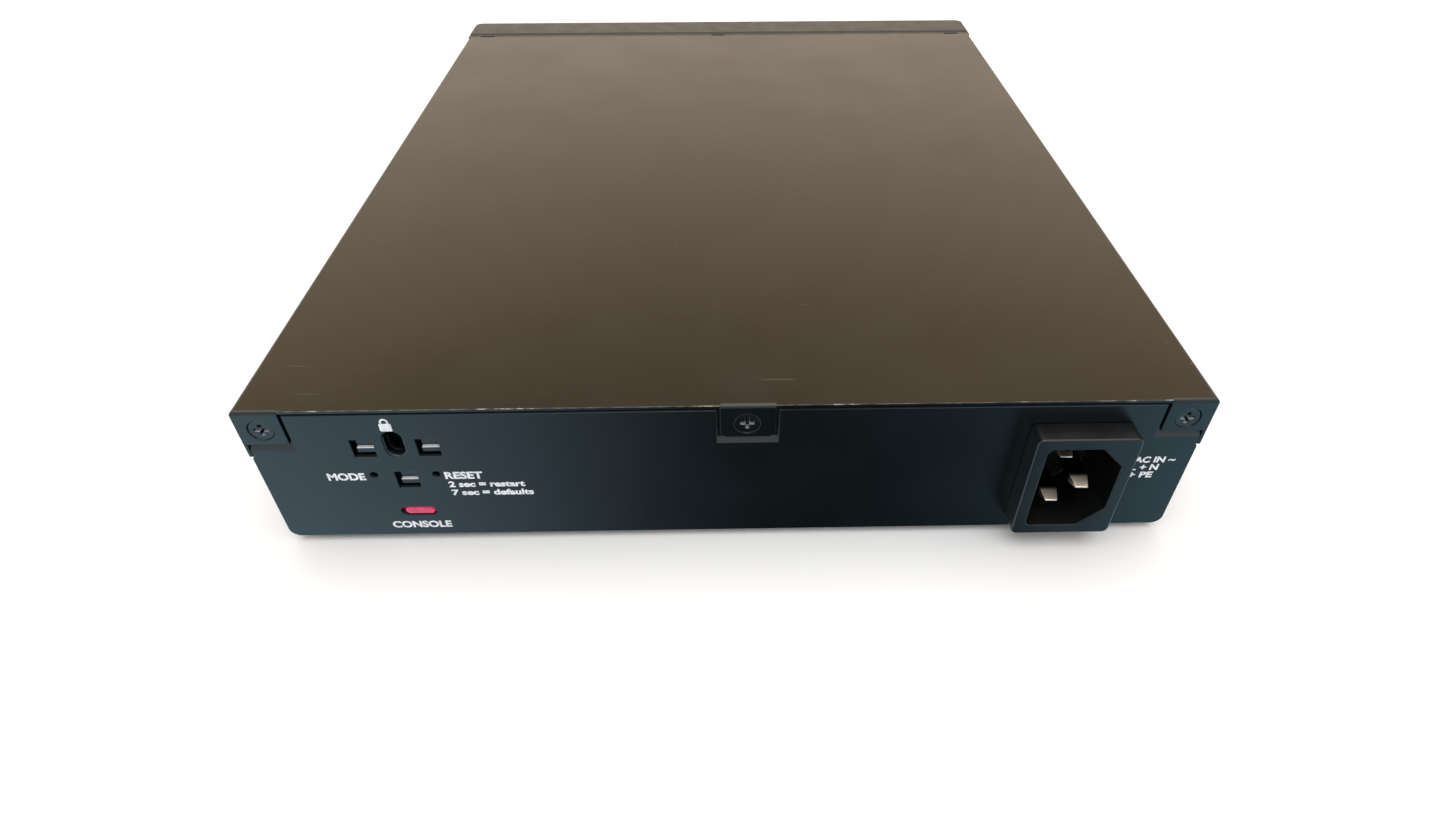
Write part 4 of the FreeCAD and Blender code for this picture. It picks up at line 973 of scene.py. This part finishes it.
@dataclass
class Shell:
    """Painted steel pan and cover with the moulded front bezel."""

    shop: Shop
    sheet_edge: float = 0.13 * MM
    bezel_edge: float = 0.3 * MM

    def build(self) -> None:
        """Builds the three shells, with the bezel's face moved back to make room for its print."""
        shop = self.shop
        replica("rear_pan", "chassis_base", self.sheet_edge, shop.pan)
        replica("lid", "top_cover", self.sheet_edge, shop.cover)
        nose = softened("front_bezel", self.bezel_edge)
        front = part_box("front_bezel")[1].y
        face = [vert for vert in nose.verts if vert.co.y > front - INK_DEPTH / 2]
        bmesh.ops.translate(nose, verts=face, vec=(0, -INK_DEPTH, 0))
        plastic = shop.plain["bezel_plastic"]
        piece("nose_frame", nose, plastic, stands_for=["front_bezel"])


@dataclass
class CoverScrews:
    """Three black countersunk screws with cross recesses."""

    shop: Shop
    head_edge: float = 0.16 * MM

    def build(self) -> None:
        """Builds the screws."""
        screw = self.shop.black_screw
        replica("black_cover_screws", "cover_screws", self.head_edge, screw)
        dress("cover_nuts", self.shop.plain["zinc_plate"])


@dataclass
class LockBay:
    """Lock plate and the moulded clip whose hooks show in the panel's windows."""

    shop: Shop
    hook_edge: float = 0.14 * MM

    def build(self) -> None:
        """Builds the clip and dresses the plate."""
        replica("lock_clip", "slot_clip", self.hook_edge, self.shop.clip, 3)
        dress("lock_plate", self.shop.dark_plate)


@dataclass
class MainsInlet:
    """Moulded mains inlet with its three blades."""

    shop: Shop
    moulded_edge: float = 0.22 * MM
    blade_edge: float = 0.25 * MM
    taper: float = 2.8 * MM
    tip_share: Span = (0.7, 0.2)

    def blade(self, node: str) -> BMesh:
        """Shape of one blade, with rounded sides and a wedge tip, in its CAD node's place."""
        low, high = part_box(node)
        bm = bmesh.new()
        slab(bm, (low.x, low.y + self.taper, low.z), high)
        front = min(bm.faces, key=lambda face: face.calc_center_median().y)
        made = bmesh.ops.extrude_face_region(bm, geom=[front])["geom"]
        tip = [item for item in made if isinstance(item, BMVert)]
        bmesh.ops.delete(bm, geom=[front], context="FACES_ONLY")
        centre = (low + high) / 2
        bmesh.ops.translate(bm, verts=tip, vec=(0, -self.taper, 0))
        narrower, lower = self.tip_share
        about_centre = Matrix.Translation(-centre)
        bmesh.ops.scale(bm, verts=tip, vec=(narrower, 1.0, lower), space=about_centre)
        bmesh.ops.recalc_face_normals(bm, faces=bm.faces)
        bevel(bm, list(bm.edges), self.blade_edge, 2)
        return bm

    def build(self) -> None:
        """Builds the body and the blades."""
        plastic = self.shop.plain["inlet_plastic"]
        replica("inlet_shroud", "inlet_body", self.moulded_edge, plastic, 3)
        for conductor in ("line", "neutral", "earth"):
            node = f"inlet_pin_{conductor}"
            nickel = self.shop.blade(conductor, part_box(node)[0].y + self.taper)
            piece(f"{conductor}_blade", self.blade(node), nickel, stands_for=[node])


@dataclass
class ConsoleBay:
    """Console socket and its dust plug."""

    shop: Shop
    plug_edge: float = 0.1 * MM
    shell_edge: float = 0.07 * MM

    def build(self) -> None:
        """Builds the socket's shell and the plug."""
        tin, red = self.shop.plain["tin_plate"], self.shop.plug
        replica("socket_shell", "console_shell", self.shell_edge, tin)
        replica("dust_plug_cap", "console_plug", self.plug_edge, red, 3, "dust_plug")
        dress("console_tongue", self.shop.plain["black_plastic"])


@dataclass
class PushButtons:
    """Mode and reset buttons on their upright board."""

    shop: Shop
    edge: float = 0.12 * MM

    def build(self) -> None:
        """Builds both plungers and dresses what holds them."""
        black = self.shop.plain["black_plastic"]
        for name in ("mode", "reset"):
            cap, body = f"{name}_plunger_cap", f"{name}_plunger"
            replica(cap, f"{name}_button", self.edge, black, 3, body)
            dress(f"{name}_switch_body", black)
        dress("riser_board", self.shop.board)


@dataclass
class Legends:
    """White print of the rear panel."""

    shop: Shop
    text_height: float = 2.3 * MM
    small_height: float = 1.9 * MM
    padlock_size: Span = (2.6 * MM, 3.6 * MM)
    padlock_shift: Span = (-0.95 * MM, 0.3 * MM)

    def padlock(self, ink: Ink) -> None:
        """Prints a plain padlock above the lock slot."""
        x = middle_of("console_plug").x + self.padlock_shift[0]
        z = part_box("slot_clip")[1].z + self.padlock_shift[1]
        thick, half_body, foot, shoulder, bow = 0.1, 1.3, -1.15, 0.85, 1.2
        inner, outer, root = 0.55, 0.95, 0.8
        bm = bmesh.new()
        body = slab(bm, (-half_body, foot, 0), (half_body, shoulder, thick))
        bevel(bm, edges_between(bm, body, 2), 0.25, 3)
        leg = slab(bm, (inner, root, 0), (outer, bow, thick))
        top = [face for face in {f for v in leg for f in v.link_faces} if face.normal.y > 0.9]
        turn = {"cent": (0, bow, 0), "axis": (0, 0, 1), "angle": math.pi, "steps": 10}
        bmesh.ops.spin(bm, geom=top, use_merge=False, use_duplicate=False, **turn)
        slab(bm, (-outer, root, 0), (-inner, bow, thick))
        bmesh.ops.remove_doubles(bm, verts=bm.verts, dist=1e-4)
        bmesh.ops.recalc_face_normals(bm, faces=bm.faces)
        across, tall = (about(*pair) for pair in zip((x, z), self.padlock_size))
        stand_print(bm, ink.facing, across, tall, ink.face)
        piece("padlock_print", bm, ink.material)

    def build(self) -> None:
        """Prints every legend: text, name, and in mm its ends and height from what it labels."""
        ink = Ink(Facing.REAR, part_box("chassis_base")[0].y, self.shop.ink, "pan_paint")
        mode = middle_of("mode_button")
        reset = middle_of("reset_button")
        console = middle_of("console_plug")
        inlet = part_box("inlet_body")[1]
        tall, small = self.text_height, self.small_height
        rows = (
            ("MODE", "print_mode", mode.x, (-10.5, -2.1), mode.z, -0.45, tall),
            ("RESET", "print_reset", reset.x, (1.7, 10.2), reset.z, -0.45, tall),
            ("2 sec = restart", "print_reset_short", reset.x, (2.0, 19.2), reset.z, -3.3, small),
            ("7 sec = defaults", "print_reset_long", reset.x, (2.2, 20.8), reset.z, -6.0, small),
            ("CONSOLE", "print_console", console.x, (-7.3, 6.6), console.z, -4.6, tall),
            ("AC IN ~", "print_mains", inlet.x, (3.0, 12.4), inlet.z, -11.6, small),
            ("L + N", "print_mains_live", inlet.x, (3.0, 9.2), inlet.z, -14.0, small),
            ("+ PE", "print_mains_earth", inlet.x, (3.0, 8.6), inlet.z, -16.4, small),
        )
        for text, name, x, ends, z, drop, height in rows:
            ink.word(text, name, (x + ends[0] * MM, x + ends[1] * MM), about(z + drop * MM, height))
        self.padlock(ink)


@dataclass
class PortBank:
    """Network ports, module cages and lamps of the front, with their numbers."""

    shop: Shop
    shield_edge: float = 0.06 * MM
    pitch: float = 13.97 * MM
    figure_height: float = 2.0 * MM
    figure_width: float = 1.35 * MM
    narrow_one: float = 0.45
    figure_weight: float = 0.02
    lamp_drop: float = 0.9 * MM
    below: float = 2.6 * MM

    def numbers(self) -> None:
        """Numbers every port: odd ones above their block, even ones below it, cages below."""
        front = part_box("front_bezel")[1].y
        face = front - INK_DEPTH / 2
        ink = Ink(Facing.FRONT, face, self.shop.ink, "bezel_plastic", self.figure_weight)
        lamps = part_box("port_light_pipes")[1].z - self.lamp_drop
        spots = []
        for node, columns in (("port_block_shield", 4), ("uplink_shield", 1)):
            low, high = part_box(node)
            for column in range(columns):
                x = (low.x + high.x) / 2 + ((columns - 1) / 2 - column) * self.pitch
                spots += [(x, lamps), (x, low.z - self.below)]
        for node in ("sfp_cage_2", "sfp_cage_1"):
            spots.append((middle_of(node).x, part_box(node)[0].z - self.below))
        for number, (x, z) in enumerate(spots, start=1):
            text = str(number)
            shares = [self.narrow_one if figure == "1" else 1.0 for figure in text]
            across = about(x, self.figure_width * sum(shares))
            ink.word(text, f"port_figure_{text}", across, about(z, self.figure_height))

    def build(self) -> None:
        """Builds the shields and cages and dresses the rest."""
        plain = self.shop.plain
        for block, name in (("port_block", "port_shell"), ("uplink", "uplink_shell")):
            replica(name, f"{block}_shield", self.shield_edge, plain["tin_plate"])
            dress(f"{block}_housing", plain["black_plastic"])
            dress(f"{block}_contacts", plain["gilt"])
        for number in (1, 2):
            name, node = f"module_cage_{number}", f"sfp_cage_{number}"
            replica(name, node, self.shield_edge, plain["tin_plate"])
        dress("sfp_connectors", self.shop.plain["black_plastic"])
        dress("port_light_pipes", self.shop.guide)
        dress("status_light_pipes", self.shop.guide)
        self.numbers()


@dataclass
class Underside:
    """Feet and the threaded inserts of the sides."""

    shop: Shop
    foot_edge: float = 0.15 * MM

    def build(self) -> None:
        """Builds the feet and dresses the inserts."""
        replica("grip_feet", "rubber_feet", self.foot_edge, self.shop.rubber)
        dress("ear_inserts", self.shop.insert)


@dataclass
class Internals:
    """Everything sealed in the case, seen only through its vents."""

    shop: Shop
    inner: ClassVar[dict[str, tuple[str, ...]]] = {
        "zinc_plate": ("main_board_standoffs", "supply_board_standoffs", "board_screws"),
        "ferrite": ("transformer_core", "common_mode_choke", "power_inductors"),
        "coil_tape": ("transformer_winding",),
        "can_sleeve": ("bulk_capacitors", "output_capacitors"),
        "film_case": ("filter_capacitor",),
        "fuse_ceramic": ("mains_fuse",),
        "tin_plate": ("fuse_clips",),
        "mill_aluminium": ("supply_heatsinks", "chip_heatsink", "polymer_capacitors"),
        "black_plastic": ("supply_insulator",),
        "header_plastic": ("dc_connectors",),
        "wire_sleeve": ("dc_wires", "mains_leads"),
        "chip_epoxy": (
            "power_transistors",
            "switch_chip",
            "processor_chip",
            "memory_chips",
            "flash_chip",
            "port_magnetics",
        ),
    }

    def build(self) -> None:
        """Dresses each inner node."""
        for finish, nodes in self.inner.items():
            for node in nodes:
                dress(node, self.shop.plain[finish])
        for node in ("main_board", "supply_board"):
            dress(node, self.shop.board)
        dress("thermal_pad", self.shop.pad)


# ---- studio


@dataclass(frozen=True)
class Skylight:
    """One even, very soft light from straight above."""

    name: str = "skylight"
    height: float = 1.4
    strength: float = 2.9
    spread: float = 1.3

    def build(self) -> None:
        """Hangs the light, which fills without a highlight of its own."""
        data = bpy.data.lights.new(self.name, "SUN")
        data.energy = self.strength
        data.angle = self.spread
        data.specular_factor = 0.0
        lamp = bpy.data.objects.new(self.name, data)
        bpy.context.scene.collection.objects.link(lamp)
        lamp.location.z = self.height


@dataclass
class RoomLight:
    """Light of the room by direction, as smooth ramps."""

    graph: Tree
    wall: Ramp = (
        (0.0, (1.35, 1.15, 0.98)),
        (0.22, (1.5, 1.26, 1.07)),
        (0.36, (1.45, 1.2, 0.98)),
        (0.45, (1.22, 0.98, 0.74)),
        (0.54, (0.9, 0.72, 0.44)),
        (0.64, (0.2, 0.14, 0.07)),
        (0.75, (0.02, 0.015, 0.01)),
    )
    near_side: Ramp = ((0.0, (0.8, 0.83, 0.86)), (1.0, (1.0, 1.0, 1.0)))
    low_front: Ramp = ((0.0, (0.5, 0.5, 0.5)), (1.0, (1.0, 1.0, 1.0)))
    low_sides: Ramp = (
        (0.2, (0.85, 1.3, 1.6)),
        (0.35, (0.8, 1.15, 1.4)),
        (0.44, (0.2, 0.28, 0.34)),
        (0.46, (0.0, 0.005, 0.01)),
        (0.66, (0.0, 0.005, 0.01)),
        (0.76, (0.7, 1.2, 1.5)),
    )
    low_turn: Span = (-0.1, 0.1)
    high_turn: Span = (-0.55, -0.15)
    horizon: Span = (-0.08, 0.02)

    def ramp(self, value: Socket, stops: Sequence[tuple[float, Colour]]) -> Socket:
        """Colours a value by a list of stops.

        Args:
            value: the value to colour.
            stops: places from 0 to 1 and their colours.

        Returns:
            The colour socket.
        """
        node = self.graph.add("ShaderNodeValToRGB", Fac=value)
        elements = node.color_ramp.elements
        while len(elements) < len(stops):
            elements.new(1.0)
        for element, (place, colour) in zip(elements, stops):
            element.position = place
            element.color = (*colour, 1.0)
        return node.outputs["Color"]

    def step(self, value: Socket, span: Span) -> Socket:
        """Smooth step of a value between the two ends of a span."""
        levels = {"From_Min": span[0], "From_Max": span[1]}
        node = self.graph.add("ShaderNodeMapRange", Value=value, **levels)
        node.interpolation_type = "SMOOTHSTEP"
        return node.outputs["Result"]

    def build(self) -> None:
        """Joins the wall ahead, the near side and the low sides into one background."""
        direction = self.graph.add("ShaderNodeTexCoord").outputs["Generated"]
        x, y, z = self.graph.add("ShaderNodeSeparateXYZ", Vector=direction).outputs
        wall = self.ramp(z, self.wall)
        near = self.ramp(z, self.near_side)
        low_rear = self.ramp(self.graph.spread(x, -1.0, 1.0), self.low_sides)
        low_front = self.ramp(z, self.low_front)
        below = self.graph.blend(self.step(y, self.low_turn), low_rear, low_front)
        upper = self.graph.blend(self.step(y, self.high_turn), near, wall)
        whole = self.graph.blend(self.step(z, self.horizon), below, upper)
        self.graph.feed(self.graph.tree.nodes["Background"].inputs["Color"], whole)


@dataclass
class Studio:
    """Pale floor, soft light and the camera."""

    floor_half: float = 12.0
    floor_tones: tuple[Colour, Colour] = ((0.84, 0.84, 0.84), (0.88, 0.88, 0.88))
    floor_roughness: float = 0.8
    sensor: float = 36.0
    nearest: float = 0.005
    lens: float = 21.3724
    shift: Span = (-0.00694, -0.00783)
    camera_turn: tuple[float, float, float] = (0.86323, 0.00121, -0.01864)
    camera_from_panel: tuple[float, float, float] = (-1.454 * MM, -135.745 * MM, 158.542 * MM)

    def floor(self) -> None:
        """Lays a plain pale floor under the feet."""
        bm = bmesh.new()
        bmesh.ops.create_grid(bm, x_segments=4, y_segments=4, size=self.floor_half)
        mesh = bpy.data.meshes.new("studio_floor")
        bm.to_mesh(mesh)
        bm.free()
        graph = Graph("studio_floor")
        tone = graph.blend(graph.noise(1.5, 2.0), *self.floor_tones)
        mesh.materials.append(graph.finish(tone, self.floor_roughness))
        floor = bpy.data.objects.new("studio_floor", mesh)
        bpy.context.scene.collection.objects.link(floor)
        floor.location.z = -INK_DEPTH
        floor.visible_glossy = False

    def sky(self) -> None:
        """Wraps the scene in a soft room: warm beyond the front, cool and low at both sides."""
        world = bpy.data.worlds.new("studio")
        world.use_nodes = True
        RoomLight(Tree(world.node_tree)).build()
        bpy.context.scene.world = world

    def camera(self) -> None:
        """Sets the camera above and behind the rear panel."""
        data = bpy.data.cameras.new("studio_camera")
        data.lens = self.lens
        data.sensor_width = self.sensor
        data.sensor_fit = "HORIZONTAL"
        data.shift_x, data.shift_y = self.shift
        data.clip_start = self.nearest
        camera = bpy.data.objects.new("studio_camera", data)
        bpy.context.scene.collection.objects.link(camera)
        pan_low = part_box("chassis_base")[0]
        camera.location = Vector(self.camera_from_panel) + Vector((0.0, pan_low.y, pan_low.z))
        camera.rotation_euler = self.camera_turn
        bpy.context.scene.camera = camera

    def build(self) -> None:
        """Builds the whole studio."""
        self.floor()
        self.sky()
        self.camera()
        Skylight().build()
        bpy.context.scene.view_settings.view_transform = "Standard"


def main() -> None:
    """Builds the switch, sub-assembly by sub-assembly, in its studio."""
    logging.basicConfig(level=logging.INFO, format="%(message)s")
    shop = Shop()
    parts = (
        Shell,
        CoverScrews,
        LockBay,
        MainsInlet,
        ConsoleBay,
        PushButtons,
        Legends,
        PortBank,
        Underside,
        Internals,
    )
    for part in parts:
        LOG.info("-- %s", part.__name__)
        part(shop).build()
    Studio().build()


if __name__ == "__main__":
    main()
